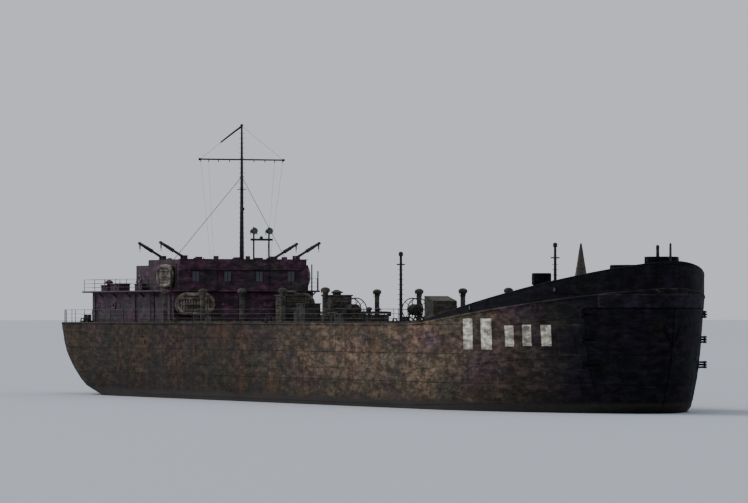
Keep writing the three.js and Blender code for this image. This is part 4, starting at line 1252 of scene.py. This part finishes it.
# A pair of small round lookout tubs that stand above the bulwark
def makeSideTubs():
    s = foreGear["sideTubs"]
    x, radius, floor, top = s["x"], s["radius"], s["floor"], s["top"]
    inside, foot = radius - s["wall"], deckLine(x) - 0.004
    bm = bmesh.new()
    for y in (s["y"], -s["y"]):
        centre = Vector((x, y, 0))
        addLathe(bm, centre, [(0, foot), (0.034, foot), (0.034, floor), (radius, floor + 0.012), (radius, top),
                              (inside, top), (inside, floor + 0.016), (0, floor + 0.016)], 36)
        addHoop(bm, centre + upright * top, upright, radius - 0.002, 0.0042, 36, 8)
        addTubRibs(bm, centre, s["ribs"], 0, [
            ((radius + 0.001, floor + 0.014), (radius + 0.001, top - 0.004), 0.005, 0.004),
            ((0.032, floor - 0.030), (radius - 0.008, floor + 0.006), 0.004, 0.008)])
        addLadder(bm, (x - radius - 0.010, y, deckLine(x - radius)), (x - radius - 0.008, y, top + 0.004),
                  (0, 1, 0), 0.036)
    finishPiece("side_tubs", bm, "ship", "bow_paint")


def makeForecastleTubs():
    bm = bmesh.new()
    for tub in foreGear["tubs"]:
        addTubTrim(bm, *tub)
    addLadder(bm, onDeck(4.284, 0), (4.288, 0, 1.14), (0, 1, 0), 0.05)
    addLadder(bm, onDeck(4.795, 0.113), (4.795, 0.111, 1.188), (1, 0, 0), 0.045)
    finishPiece("tub_trim", bm, "ship", "bow_paint")


def makeForecastleGear():
    s = foreGear
    bm = bmesh.new()
    for x, y in s["vents"]:
        addMushroom(bm, *onDeck(x, y, -0.002))
    for x, y in s["bitts"]:
        for side in (1, -1):
            addBollards(bm, *onDeck(x, side * y, -0.002))
    for x, y in s["hatches"]:
        z = deckLine(x)
        addLidded(bm, (x - 0.05, y - 0.05, z - 0.004), (x + 0.05, y + 0.05, z + 0.030))
        for a, b in ((1, 1), (1, -1), (-1, 1), (-1, -1)):
            clip = Vector((x + a * 0.046, y + b * 0.058, z))
            addRod(bm, clip + upright * 0.010, clip + upright * 0.034, 0.0035, sides=6)
    addBox(bm, *s["locker"]["lid"])
    z = s["locker"]["handleZ"]
    for y in s["locker"]["across"]:
        addBox(bm, (2.953, y - 0.008, 0.856), (2.962, y + 0.008, 0.879))
        addSweep(bm, [(3.081, y - 0.02, z), (3.088, y - 0.02, z), (3.088, y + 0.02, z), (3.081, y + 0.02, z)],
                 0.0025, 6)
    finishPiece("forecastle_gear", bm, "ship", "deck_gear")


def addRung(bm, x, z):
    addRod(bm, (x, -0.022, z), (x, 0.022, z), 0.0016, sides=4)


def makePostFittings():
    bm = bmesh.new()
    for x, radius, top in foreGear["rungPosts"]:
        addHoop(bm, onDeck(x, 0, 0.004), upright, radius + 0.006, 0.006, 20, 6)
        addRod(bm, (x, -0.030, top), (x, 0.030, top), 0.0045, sides=8)
        for i in range(int((top - deckLine(x) - 0.05) / 0.035)):
            addRung(bm, x, deckLine(x) + 0.06 + i * 0.035)
    addRod(bm, (4.742, 0, 1.102), (4.742, 0, 1.240), 0.0125, 0.0095, 12)
    addRod(bm, onDeck(4.925, 0), (4.925, 0, 1.250), 0.0100, 0.0075, 12)
    finishPiece("post_fittings", bm, "ship", "spar_paint")


coverCloth = {
    "x": 3.6, "foot": 0.853, "rise": 0.437, "sides": 96, "folds": 9,
    "flat": (0.46, 0.47),  # the cone's slant height, and its girth at the foot
    "straps": [(0.905, 0.0745), (1.006, 0.0545), (1.130, 0.0315)],  # (height, radius)
    "profile": [(0.0745, 0.853), (0.0730, 0.868), (0.0715, 0.890), (0.0722, 0.915), (0.0708, 0.938), (0.0670, 0.956),
                (0.0615, 0.974), (0.0560, 0.990), (0.0515, 1.006), (0.0470, 1.026), (0.0430, 1.048), (0.0390, 1.070),
                (0.0350, 1.094), (0.0312, 1.118), (0.0275, 1.142), (0.0240, 1.166), (0.0210, 1.186), (0.0180, 1.206),
                (0.0150, 1.226), (0.0120, 1.246), (0.0092, 1.264), (0.0068, 1.280), (0.0050, 1.290)],
}


# A laced canvas cover, gathered into folds as it narrows
def makeCover():
    s = coverCloth
    bm = bmesh.new()
    addRod(bm, (s["x"], 0, 0.84), (s["x"], 0, 1.286), 0.004, 0.0025, 10)
    pole = finishPiece("cover_pole", bm, "ship", "deck_gear")

    bm = bmesh.new()
    addLathe(bm, (s["x"], 0, 0), s["profile"], s["sides"])
    for v in bm.verts:
        out = Vector((v.co.x - s["x"], v.co.y, 0))
        radius, a = out.length, math.atan2(out.y, out.x)
        rise = (v.co.z - s["foot"]) / s["rise"]
        fold = math.sin(a * s["folds"] + 2.2 * rise) + 0.45 * math.sin(a * 17 + 1.3 + 3 * rise)
        slack = 0.5 + 0.5 * math.sin(rise * 9 + a * 2)
        grow = 1 + fold * (0.018 + 0.035 * min(1, rise * 2.2)) + 0.012 * slack * math.sin(a * 5 + rise * 12)
        v.co.x = s["x"] + out.x * grow
        v.co.y = out.y * grow
        v.co.z += 0.0012 * math.sin(a * 4 + 1) * (1 - rise)
    area = sum(face.calc_area() for face in bm.faces)
    cloth = finishPiece("canvas_cover_cloth", bm, "ship", "canvas", replaced=("canvas_cover",), smooth=60)

    bm = bmesh.new()
    for z, radius in s["straps"]:
        addLathe(bm, (s["x"], 0, z), [(radius, -0.0035), (radius + 0.0015, -0.003), (radius + 0.0015, 0.003),
                                      (radius, 0.0035), (radius - 0.001, 0), (radius, -0.0035)], 48)
        addBox(bm, (s["x"] + radius, -0.004, z - 0.0045), (s["x"] + radius + 0.004, 0.004, z + 0.0045))
    straps = finishPiece("cover_straps", bm, "ship", "canvas")


makeCapstan()
makeAnchorChains()
makeSideTubs()
makeForecastleTubs()
makeForecastleGear()
makePostFittings()
makeCover()
bevelNode("deck_locker", 0.003)
print("forecastle ready")


# Superstructure

houseFittings = {
    "side": 0.570, "bridgeSide": 0.530, "fore": -2.460, "portZ": 0.905, "bridgePortZ": 1.120,
    "sidePorts": [-2.62, -3.18, -3.42, -3.66, -3.90, -4.14],
    "frontPorts": [-0.17, 0.17],
    "bridgePorts": [-2.98, -3.20],
    "windows": {"across": [-0.390, -0.130, 0.130, 0.390], "low": 1.080, "high": 1.155, "half": 0.031},
    "brackets": {"fore": -2.50, "aft": -4.3, "step": 0.31},
    "pipes": {"along": [-2.52, -3.30, -4.22], "y": 0.575, "foot": 0.775, "head": 0.985, "clips": [0.80, 0.88, 0.96]},
    "hoodStays": [-0.46, -0.26, 0.0, 0.26, 0.46],
    "foreDoorDogs": [0.81, 0.88, 0.945],
    "sideDoor": {"face": 0.5768, "edge": -2.948, "dogs": [0.800, 0.877, 0.955], "wheel": (-2.920, 0.915),
                 "ribs": [0.80, 0.95]},
}


def addWindow(rims, panes, x, y, low, high, half):
    for z in (low - 0.003, high + 0.003):
        addBeam(rims, (x, y - half - 0.005, z), (x, y + half + 0.005, z), 0.006, 0.006)
    for edge in (y - half - 0.002, y + half + 0.002):
        addBeam(rims, (x, edge, low), (x, edge, high), 0.006, 0.006)
    addBox(panes, (x - 0.0075, y - half, low - 0.001), (x - 0.0055, y + half, high + 0.001))
    addRod(rims, (x - 0.004, y, low), (x - 0.004, y, high), 0.0016, sides=6)


def makeHouseFittings():
    s = houseFittings
    rims, panes = bmesh.new(), bmesh.new()
    for side in (1, -1):
        out = Vector((0, side, 0))
        edge = side * s["side"]
        for x in s["sidePorts"]:
            addPort(rims, panes, Vector((x, edge, s["portZ"])), out, 0.015, 0.003)
        for x in s["bridgePorts"]:
            addPort(rims, panes, Vector((x, side * s["bridgeSide"], s["bridgePortZ"])), out, 0.014, 0.003)
        p = s["pipes"]
        for x in p["along"]:
            addSweep(rims, [(x, side * p["y"], p["foot"]), (x, side * p["y"], p["head"])], 0.004, 8)
            for z in p["clips"]:
                addBeam(rims, (x - 0.008, side * 0.572, z), (x + 0.008, side * 0.572, z), 0.004, 0.005)
        addBeam(rims, (-2.968, edge, 0.772), (-2.968, edge, 0.992), 0.008, 0.008)
        addBeam(rims, (-2.972, edge, 0.991), (-2.880, edge, 0.991), 0.008, 0.006)
        p = s["brackets"]
        for x in placesAlong(p["fore"], p["aft"], -p["step"]):
            addBeam(rims, (x, side * 0.568, 0.962), (x, side * 0.606, 0.998), 0.005, 0.010, (1, 0, 0))
    fore = s["fore"]
    for y in s["frontPorts"]:
        addPort(rims, panes, Vector((fore, y, s["portZ"])), Vector((1, 0, 0)), 0.015, 0.003)
    w = s["windows"]
    for y in w["across"]:
        addWindow(rims, panes, fore + 0.001, y, w["low"], w["high"], w["half"])
    addBeam(rims, (-2.452, -0.50, 1.172), (-2.452, 0.50, 1.172), 0.026, 0.003, (1, 0, -0.35))
    for y in s["hoodStays"]:
        addBeam(rims, (-2.459, y, 1.162), (-2.446, y, 1.171), 0.003, 0.006)
    finishPiece("house_fittings", rims, "ship", "house_paint")
    finishPiece("house_panes", panes, "ship", "house_paint", "glass_and_shade")


# A closed door in the fore wall, and the dogs of all three doors
def makeHouseDoors():
    s = houseFittings
    bm = bmesh.new()
    addBox(bm, (-2.461, -0.042, 0.785), (-2.455, 0.042, 0.972))
    addBox(bm, (-2.456, -0.035, 0.792), (-2.452, 0.035, 0.965))
    for z in s["foreDoorDogs"]:
        for way in (-1, 1):
            addRod(bm, (-2.456, way * 0.037, z), (-2.448, way * 0.037, z), 0.004, sides=8)
            addBeam(bm, (-2.450, way * 0.040, z), (-2.450, way * 0.024, z + 0.004), 0.004, 0.004)
    for z in (0.773, 0.995):
        addBeam(bm, (-2.455, -0.22, z), (-2.455, 0.22, z), 0.008, 0.006)
    finishPiece("fore_door", bm, "ship", "house_paint")

    def leaf(side, word):
        d = s["sideDoor"]
        bm = bmesh.new()
        face, edge = side * d["face"], d["edge"]
        for z in d["dogs"]:
            addRod(bm, (edge, face - side * 0.002, z), (edge, face + side * 0.003, z), 0.004, sides=8)
            addBeam(bm, (edge - 0.002, face + side * 0.002, z), (edge + 0.014, face + side * 0.002, z + 0.003),
                    0.003, 0.004)
        addHoop(bm, (d["wheel"][0], face, d["wheel"][1]), (0, 1, 0), 0.012, 0.0024, 18)
        for z in d["ribs"]:
            addBeam(bm, (-2.942, face, z), (-2.896, face, z), 0.002, 0.004)
        finishPiece(f"door_dogs_{word}", bm, f"deckhouse_door_{word}", "house_paint")

    bothSides(leaf)


boatDeck = {
    "top": 1.009, "edge": {"fore": -2.43, "aft": -4.42, "half": 0.61, "z": 1.005, "radius": 0.0068},
    "rail": {"fore": -2.45, "step": 0.245, "count": 9, "y": 0.600, "aft": -4.41, "across": [0.30, 0.0, -0.30],
             "height": 0.095},
    "posts": [(-2.450, 0.555, 1.212), (-2.436, 0.600, 1.160)],  # (x, y, head)
    "vents": [(-3.62, 0.42), (-4.33, 0.42), (-3.55, 0.20)],
    # Lockers: (x, y, length, width, height)
    "lockers": [(-3.20, 0.570, 0.16, 0.035, 0.055), (-3.85, 0.50, 0.20, 0.09, 0.060), (-4.10, 0.50, 0.14, 0.09, 0.050)],
    "rings": [(-3.31, 0.5365, 1.105), (-3.78, 0.5765, 0.900)],
}


def makeBoatDeck():
    s = boatDeck
    top = s["top"]
    e = s["edge"]
    bm = bmesh.new()
    corners = [(e[end], side * e["half"], e["z"]) for end, side in (("fore", 1), ("aft", 1), ("aft", -1), ("fore", -1))]
    for a, b in zip(corners, corners[1:] + corners[:1]):
        addRod(bm, a, b, e["radius"], sides=8)
    finishPiece("boat_deck_edge", bm, "ship", "house_paint")

    r = s["rail"]
    bm = bmesh.new()
    port = [(r["fore"] - r["step"] * i, r["y"], top) for i in range(r["count"])]
    path = port + [(r["aft"], y, top) for y in r["across"]] + [(x, -y, z) for x, y, z in reversed(port)]
    addRails(bm, path, r["height"], *railWires)
    for side in (1, -1):
        for x, y, head in s["posts"]:
            addRod(bm, (x, side * y, top), (x, side * y, head), 0.0058, 0.005, 10)
        addLadder(bm, (-4.432, side * 0.40, 0.768), (-4.428, side * 0.40, 1.105), (0, 1, 0), 0.05)
        addLadder(bm, (-3.412, side * 0.25, 1.010), (-3.406, side * 0.25, 1.235), (0, 1, 0), 0.05)
        addRod(bm, (-2.452, side * 0.215, 1.01), (-2.452, side * 0.215, 1.205), 0.0035, sides=8)
    finishPiece("boat_deck_rails", bm, "ship", "spar_paint")

    bm = bmesh.new()
    for side in (1, -1):
        for x, y in s["vents"]:
            addMushroom(bm, x, side * y, top, 0.018, 0.09)
        for x, y, *size in s["lockers"]:
            addLocker(bm, x, side * y, top + 0.001, *size)
    addBox(bm, (-3.86, -0.09, top), (-3.62, 0.09, 1.040))
    for v in addBox(bm, (-3.865, -0.095, 1.040), (-3.615, 0.095, 1.062)):  # a skylight with a ridge
        if v.co.z > 1.05:
            v.co.y *= 0.15
    finishPiece("boat_deck_gear", bm, "ship", "house_paint")

    bm = bmesh.new()
    for side in (1, -1):
        for x, y, z in s["rings"]:
            addHoop(bm, (x, side * y, z), (0, 1, 0), 0.024, 0.0062, 28, 8)
    finishPiece("life_rings", bm, "ship", "raft_paint")


bridge = {
    "top": 1.205,
    "compass": [(0, 0), (0.024, 0), (0.024, 0.004), (0.012, 0.008), (0.012, 0.034), (0.018, 0.038), (0.018, 0.050),
                (0.010, 0.057), (0, 0.058)],
    "repeater": [(0, 0), (0.014, 0), (0.006, 0.006), (0.006, 0.045), (0.013, 0.048), (0.013, 0.056), (0, 0.057)],
    "shield": {"rail": (-2.470, 0.505, 1.2465), "stays": 11, "first": -0.49, "step": 0.098},
    "bumps": [(-0.36, 0.020, 0.05), (-0.22, 0.026, 0.035), (-0.05, 0.017, 0.05), (0.04, 0.026, 0.03),
              (0.13, 0.014, 0.06), (0.24, 0.024, 0.035), (0.34, 0.020, 0.04)],  # (y, height, width)
}


def makeBridge():
    s = bridge
    top = s["top"]
    bm = bmesh.new()
    addLathe(bm, (-2.66, 0, top), s["compass"], 24)
    for side in (1, -1):
        y = side * 0.30
        addLathe(bm, (-2.72, y, top), s["repeater"], 16)
        addLocker(bm, -2.90, side * 0.20, top, 0.09, 0.14, 0.050)
        addSweep(bm, [(-2.52, y, top), (-2.52, y, top + 0.040), (-2.535, y, top + 0.052)], 0.004, 8)
        addMushroom(bm, -3.28, y, top, 0.014, 0.06)
    addLocker(bm, -3.10, 0.0, top, 0.07, 0.30, 0.045)
    finishPiece("bridge_gear", bm, "ship", "house_paint")

    bm = bmesh.new()
    x, half, z = s["shield"]["rail"]
    addRod(bm, (x, -half, z), (x, half, z), 0.0035, sides=8)
    for i in range(s["shield"]["stays"]):
        y = s["shield"]["first"] + i * s["shield"]["step"]
        addBeam(bm, (-2.4645, y, 1.207), (-2.4645, y, 1.244), 0.005, 0.003)
        addBox(bm, (-2.474, y - 0.036, 1.2445), (-2.463, y + 0.036, 1.2500))
    for y, height, width in s["bumps"]:
        addBeam(bm, (-2.480, y, 1.246), (-2.480, y, 1.247 + height), width, 0.022)
    finishPiece("bridge_shield_trim", bm, "ship", "house_paint")


mast = {
    "x": -2.505, "truck": 2.268, "yardZ": 2.010, "yardEnd": 0.344,
    "bands": [(2.010, 0.0125, 0.0035), (1.880, 0.0145, 0.0030)],  # (height, radius, thickness)
    "rungs": (1.30, 2.22, 0.038), "yardBlocks": [0.10, 0.19, 0.27, 0.335],
    "halyards": [(0.335, 0.240), (0.270, 0.215)],  # (y at the yard, y at the bridge)
    "stayFoot": (-2.765, 0.490, 1.208), "stayHead": 1.880,
    "arm": [(-0.005, 2.262), (-0.060, 2.223), (-0.172, 2.140)],  # (y, z) from the mast head outwards
}
lamps = {"x": -2.535, "bar": 1.400, "axis": 1.466, "across": [0.110, 0.235], "radius": 0.021, "slats": 5}


def makeMastFittings():
    s = mast
    x, yardZ = s["x"], s["yardZ"]
    bm = bmesh.new()
    for z in placesAlong(*s["rungs"]):
        addRung(bm, x, z)
    addLathe(bm, (x, 0, s["truck"]), [(0, 0), (0.011, 0), (0.013, 0.006), (0.006, 0.014), (0, 0.015)], 16)
    for z, radius, thick in s["bands"]:
        addHoop(bm, (x, 0, z), upright, radius, thick, 20)
    addLathe(bm, (-2.478, 0, 1.62), [(0, 0), (0.011, 0.002), (0.011, 0.022), (0, 0.026)], 16)
    addRod(bm, (x, 0, 1.622), (-2.475, 0, 1.622), 0.004, sides=8)
    addBox(bm, (-2.530, -0.030, 1.780), (-2.480, 0.030, 1.785))
    for side in (1, -1):
        for y in s["yardBlocks"]:
            addRod(bm, (x, side * y, yardZ - 0.002), (x, side * y, yardZ - 0.020), 0.0026, 0.0044, 8)
        addBall(bm, (x, side * s["yardEnd"], yardZ), 0.0105)
        addRod(bm, (x, 0, 2.266), (x, side * 0.335, 2.014), 0.0010, sides=5)
        for high, low in s["halyards"]:
            addRod(bm, (x, side * high, 1.992), (-2.535, side * low, 1.215), 0.0007, sides=4)
        addBeam(bm, (-2.540, side * 0.19, 1.216), (-2.540, side * 0.26, 1.216), 0.006, 0.010)
        foot = Vector((s["stayFoot"][0], side * s["stayFoot"][1], s["stayFoot"][2]))
        along = (Vector((x, 0, s["stayHead"])) - foot).normalized()
        addRod(bm, foot + along * 0.020, foot + along * 0.055, 0.0045, sides=8)
    points = [(x, y, z) for y, z in s["arm"]]
    addRod(bm, points[0], points[1], 0.0085, 0.0070, 10)
    addRod(bm, points[1], points[2], 0.0075, 0.0060, 10)
    finishPiece("mast_fittings", bm, "ship", "spar_paint")


def makeLampFittings():
    s = lamps
    x, bar, axis, radius = s["x"], s["bar"], s["axis"], s["radius"]
    bm, panes = bmesh.new(), bmesh.new()
    addRod(bm, (x, 0.085, bar), (x, 0.265, bar), 0.0085, sides=12)
    addLathe(bm, (x, 0.172, bar), [(0, 0), (0.012, 0.004), (0.014, 0.016), (0.008, 0.026), (0, 0.028)], 16)
    for y in s["across"]:
        addHoop(bm, (-2.511, y, axis), (1, 0, 0), 0.0225, 0.0026, 28)
        addRod(panes, (-2.515, y, axis), (-2.5095, y, axis), radius, sides=24)
        for i in range(s["slats"]):
            z = axis - 0.016 + 0.008 * i
            half = math.sqrt(radius ** 2 - (z - axis) ** 2)
            addBeam(bm, (-2.5085, y - half, z), (-2.5085, y + half, z), 0.0015, 0.0022)
        for way in (-1, 1):
            addBeam(bm, (x, y + way * 0.027, 1.436), (x, y + way * 0.027, axis + 0.004), 0.003, 0.006)
            addRod(bm, (x, y + way * 0.020, axis), (x, y + way * 0.030, axis), 0.004, sides=8)
        addBeam(bm, (x, y - 0.028, 1.436), (x, y + 0.028, 1.436), 0.008, 0.004)
        addLathe(bm, (x, y, axis + 0.020), [(0, 0), (0.007, 0), (0.007, 0.008), (0, 0.012)], 12)
    finishPiece("lamp_fittings", bm, "ship", "spar_paint")
    finishPiece("lamp_lenses", panes, "ship", "spar_paint", "glass_and_shade")


davits = {
    "stations": [("fore", -2.535), ("aft", -3.0)],
    "tip": (0.650, 1.374), "block": (0.646, 1.328), "root": (0.46, 1.262),
    "hook": [(0, 0.004), (0, -0.008), (0.006, -0.014), (0, -0.020), (-0.006, -0.016)],  # (x, z) from the block
    "sleeve": (0.46, 0.97), "bands": [0.46, 0.7],  # shares of the arm, root to tip
    "wheel": {"at": (0.405, 1.236), "radius": 0.015, "spokes": 3},
}


def makeDavitFittings():
    s = davits
    for end, x in s["stations"]:
        def station(side, word):
            bevelNode(f"davit_frame_{end}_{word}", 0.0015)
            smoothNode(f"davit_arm_{end}_{word}", 40)
            tip, block, root = (Vector((x, side * s[part][0], s[part][1])) for part in ("tip", "block", "root"))
            bm = bmesh.new()
            addRod(bm, tip - Vector((0.008, 0, 0)), tip + Vector((0.008, 0, 0)), 0.011, sides=16)
            addSweep(bm, [block + Vector((a, 0, b)) for a, b in s["hook"]], 0.0020, 6)
            low, high = s["sleeve"]
            addRod(bm, root.lerp(tip, low), root.lerp(tip, high), 0.0150, 0.0105, 12)
            for share in s["bands"]:
                addHoop(bm, root.lerp(tip, share), (0, side * 0.86, 0.51), 0.0140, 0.0022, 16)
            finishPiece(f"davit_block_{end}_{word}", bm, f"davit_arm_{end}_{word}", "deck_gear")

            w = s["wheel"]
            wheel = Vector((x, side * w["at"][0], w["at"][1]))
            bm = bmesh.new()
            addHoop(bm, wheel, (0, 1, 0), w["radius"], 0.0018, 20)
            addRod(bm, wheel, wheel + Vector((0, side * 0.04, 0)), 0.0035, sides=8)
            for i in range(w["spokes"]):
                a = i * math.pi / w["spokes"]
                arm = Vector((math.cos(a), 0, math.sin(a))) * w["radius"]
                addRod(bm, wheel - arm, wheel + arm, 0.0012, sides=4)
            finishPiece(f"davit_wheel_{end}_{word}", bm, "ship", "deck_gear")

        bothSides(station)


raftForm = {
    "long": 0.330, "short": 0.180, "tube": 0.017,
    "slats": {"first": -0.132, "step": 0.022, "count": 13},
    "battens": [-0.045, 0.0, 0.045], "struts": [-0.0825, 0.0825],
}


def addRaft(bm, centre, along, out):
    s = raftForm
    centre, along, out = Vector(centre), Vector(along), Vector(out)
    radius = s["short"] / 2 - s["tube"]
    straight = (s["long"] - s["short"]) / 2
    middle = centre + out * s["tube"]
    points = []
    for way in (1, -1):
        for i in range(9):
            a = -math.pi / 2 + math.pi * i / 8
            points.append(middle + way * (along * (straight + radius * math.cos(a)) + upright * radius * math.sin(a)))
    addSweep(bm, points, s["tube"], 12, closed=True)
    for i in range(18):
        a, b = points[i], points[(i + 1) % 18]
        addHoop(bm, (a + b) / 2, b - a, s["tube"], 0.0016, 14, 4)
    for i in range(s["slats"]["count"]):
        u = s["slats"]["first"] + s["slats"]["step"] * i
        rise = radius if abs(u) < straight else math.sqrt(max(0, radius ** 2 - (abs(u) - straight) ** 2))
        addBeam(bm, middle + along * u - upright * rise, middle + along * u + upright * rise, 0.014, 0.004, along)
    for z in s["battens"]:
        half = straight + math.sqrt(radius ** 2 - z ** 2)
        spot = middle + upright * z + out * 0.004
        addBeam(bm, spot - along * half, spot + along * half, 0.012, 0.004, upright)
    for u in s["struts"]:
        strut = centre + along * u - out * 0.011
        addBeam(bm, strut - upright * 0.082, strut + upright * 0.082, 0.016, 0.024, along)


def makeRafts():
    def sideRafts(side, word):
        for name, centre, along, out in (
                (f"life_raft_fore_{word}", (-2.448, side * 0.41, 0.905), (0, 1, 0), (1, 0, 0)),
                (f"life_raft_side_{word}", (-2.680, side * 0.542, 1.120), (1, 0, 0), (0, side, 0))):
            bm = bmesh.new()
            addRaft(bm, centre, along, out)
            finishPiece(name + "_tube", bm, "ship", "raft_paint", replaced=(name,), smooth=50)

    bothSides(sideRafts)


makeHouseFittings()
makeHouseDoors()
makeBoatDeck()
makeBridge()
makeMastFittings()
makeLampFittings()
makeDavitFittings()
makeRafts()
print("superstructure ready")


# Stern

sternGear = {
    # (centre, radius, floor, top, radius of the foot, ribs)
    "tub": ((-4.12, 0, 0), 0.17, 1.0203, 1.125, 0, 16),
    "winch": {"x": -4.64, "z": 0.830, "half": 0.078, "turns": 26, "radius": 0.0352, "wire": 0.0032,
              "flanges": [-0.0865, 0.0865]},
    "wireLead": [(-4.686, 0, 0.815), (-4.80, 0, 0.85), (-4.893, 0, 0.93)],
    "rounded": [("stern_winch_bed", 0.002), ("stern_anchor_rack", 0.002), ("stern_anchor", 0.003),
                ("hatch_cover_port", 0.0015), ("hatch_cover_starboard", 0.0015)],
    "screw": {"y": 0.29, "z": 0.135, "cone": [(0, 0), (0.016, 0), (0.013, 0.012), (0.006, 0.024), (0, 0.026)]},
}


def makeStern():
    s = sternGear
    bm = bmesh.new()
    addTubTrim(bm, *s["tub"])
    addLadder(bm, (-3.942, 0, 1.010), (-3.946, 0, 1.13), (0, 1, 0), 0.05)
    finishPiece("stern_tub_trim", bm, "ship", "house_paint")

    w = s["winch"]
    bm = bmesh.new()
    for i in range(w["turns"]):
        y = -w["half"] + i * 2 * w["half"] / (w["turns"] - 1)
        addHoop(bm, (w["x"], y, w["z"]), (0, 1, 0), w["radius"], w["wire"], 24, 5)
    for y in w["flanges"]:
        addHoop(bm, (w["x"], y, w["z"]), (0, 1, 0), 0.046, 0.0024, 32, 6)
    finishPiece("winch_wire", bm, "stern_winch_drum", "deck_gear")

    bm = bmesh.new()
    addLocker(bm, -4.50, 0.0, deckTop, 0.08, 0.15, 0.070)
    addRod(bm, (-4.50, 0.070, 0.810), (-4.50, 0.125, 0.810), 0.024, sides=24)
    addBox(bm, (-4.53, 0.075, deckTop), (-4.47, 0.120, 0.800))
    for side in (1, -1):
        addFairlead(bm, -4.72, side * 0.30, deckTop)
        addBollards(bm, -4.35, side * 0.60, deckTop)
        addMushroom(bm, -4.70, side * 0.40, deckTop, 0.018, 0.09)
        for x in (w["x"] - 0.05, w["x"] + 0.05):
            addRod(bm, (x, side * 0.102, 0.781), (x, side * 0.102, 0.790), 0.005, sides=6)
    addSweep(bm, s["wireLead"], 0.0016, 6)
    finishPiece("stern_deck_gear", bm, "ship", "deck_gear")
    for name, width in s["rounded"]:
        bevelNode(name, width)


def makeScrewCones():
    s = sternGear["screw"]

    def cone(side, word):
        tail = min(v.co.x for v in nodes[f"propeller_{word}"].data.vertices)
        bm = bmesh.new()
        addLathe(bm, (tail + 0.004, side * s["y"], s["z"]), s["cone"], 20, (-1, 0, 0))
        finishPiece(f"propeller_cone_{word}", bm, f"propeller_{word}", "bronze")

    bothSides(cone)


makeStern()
makeScrewCones()
print("stern ready")
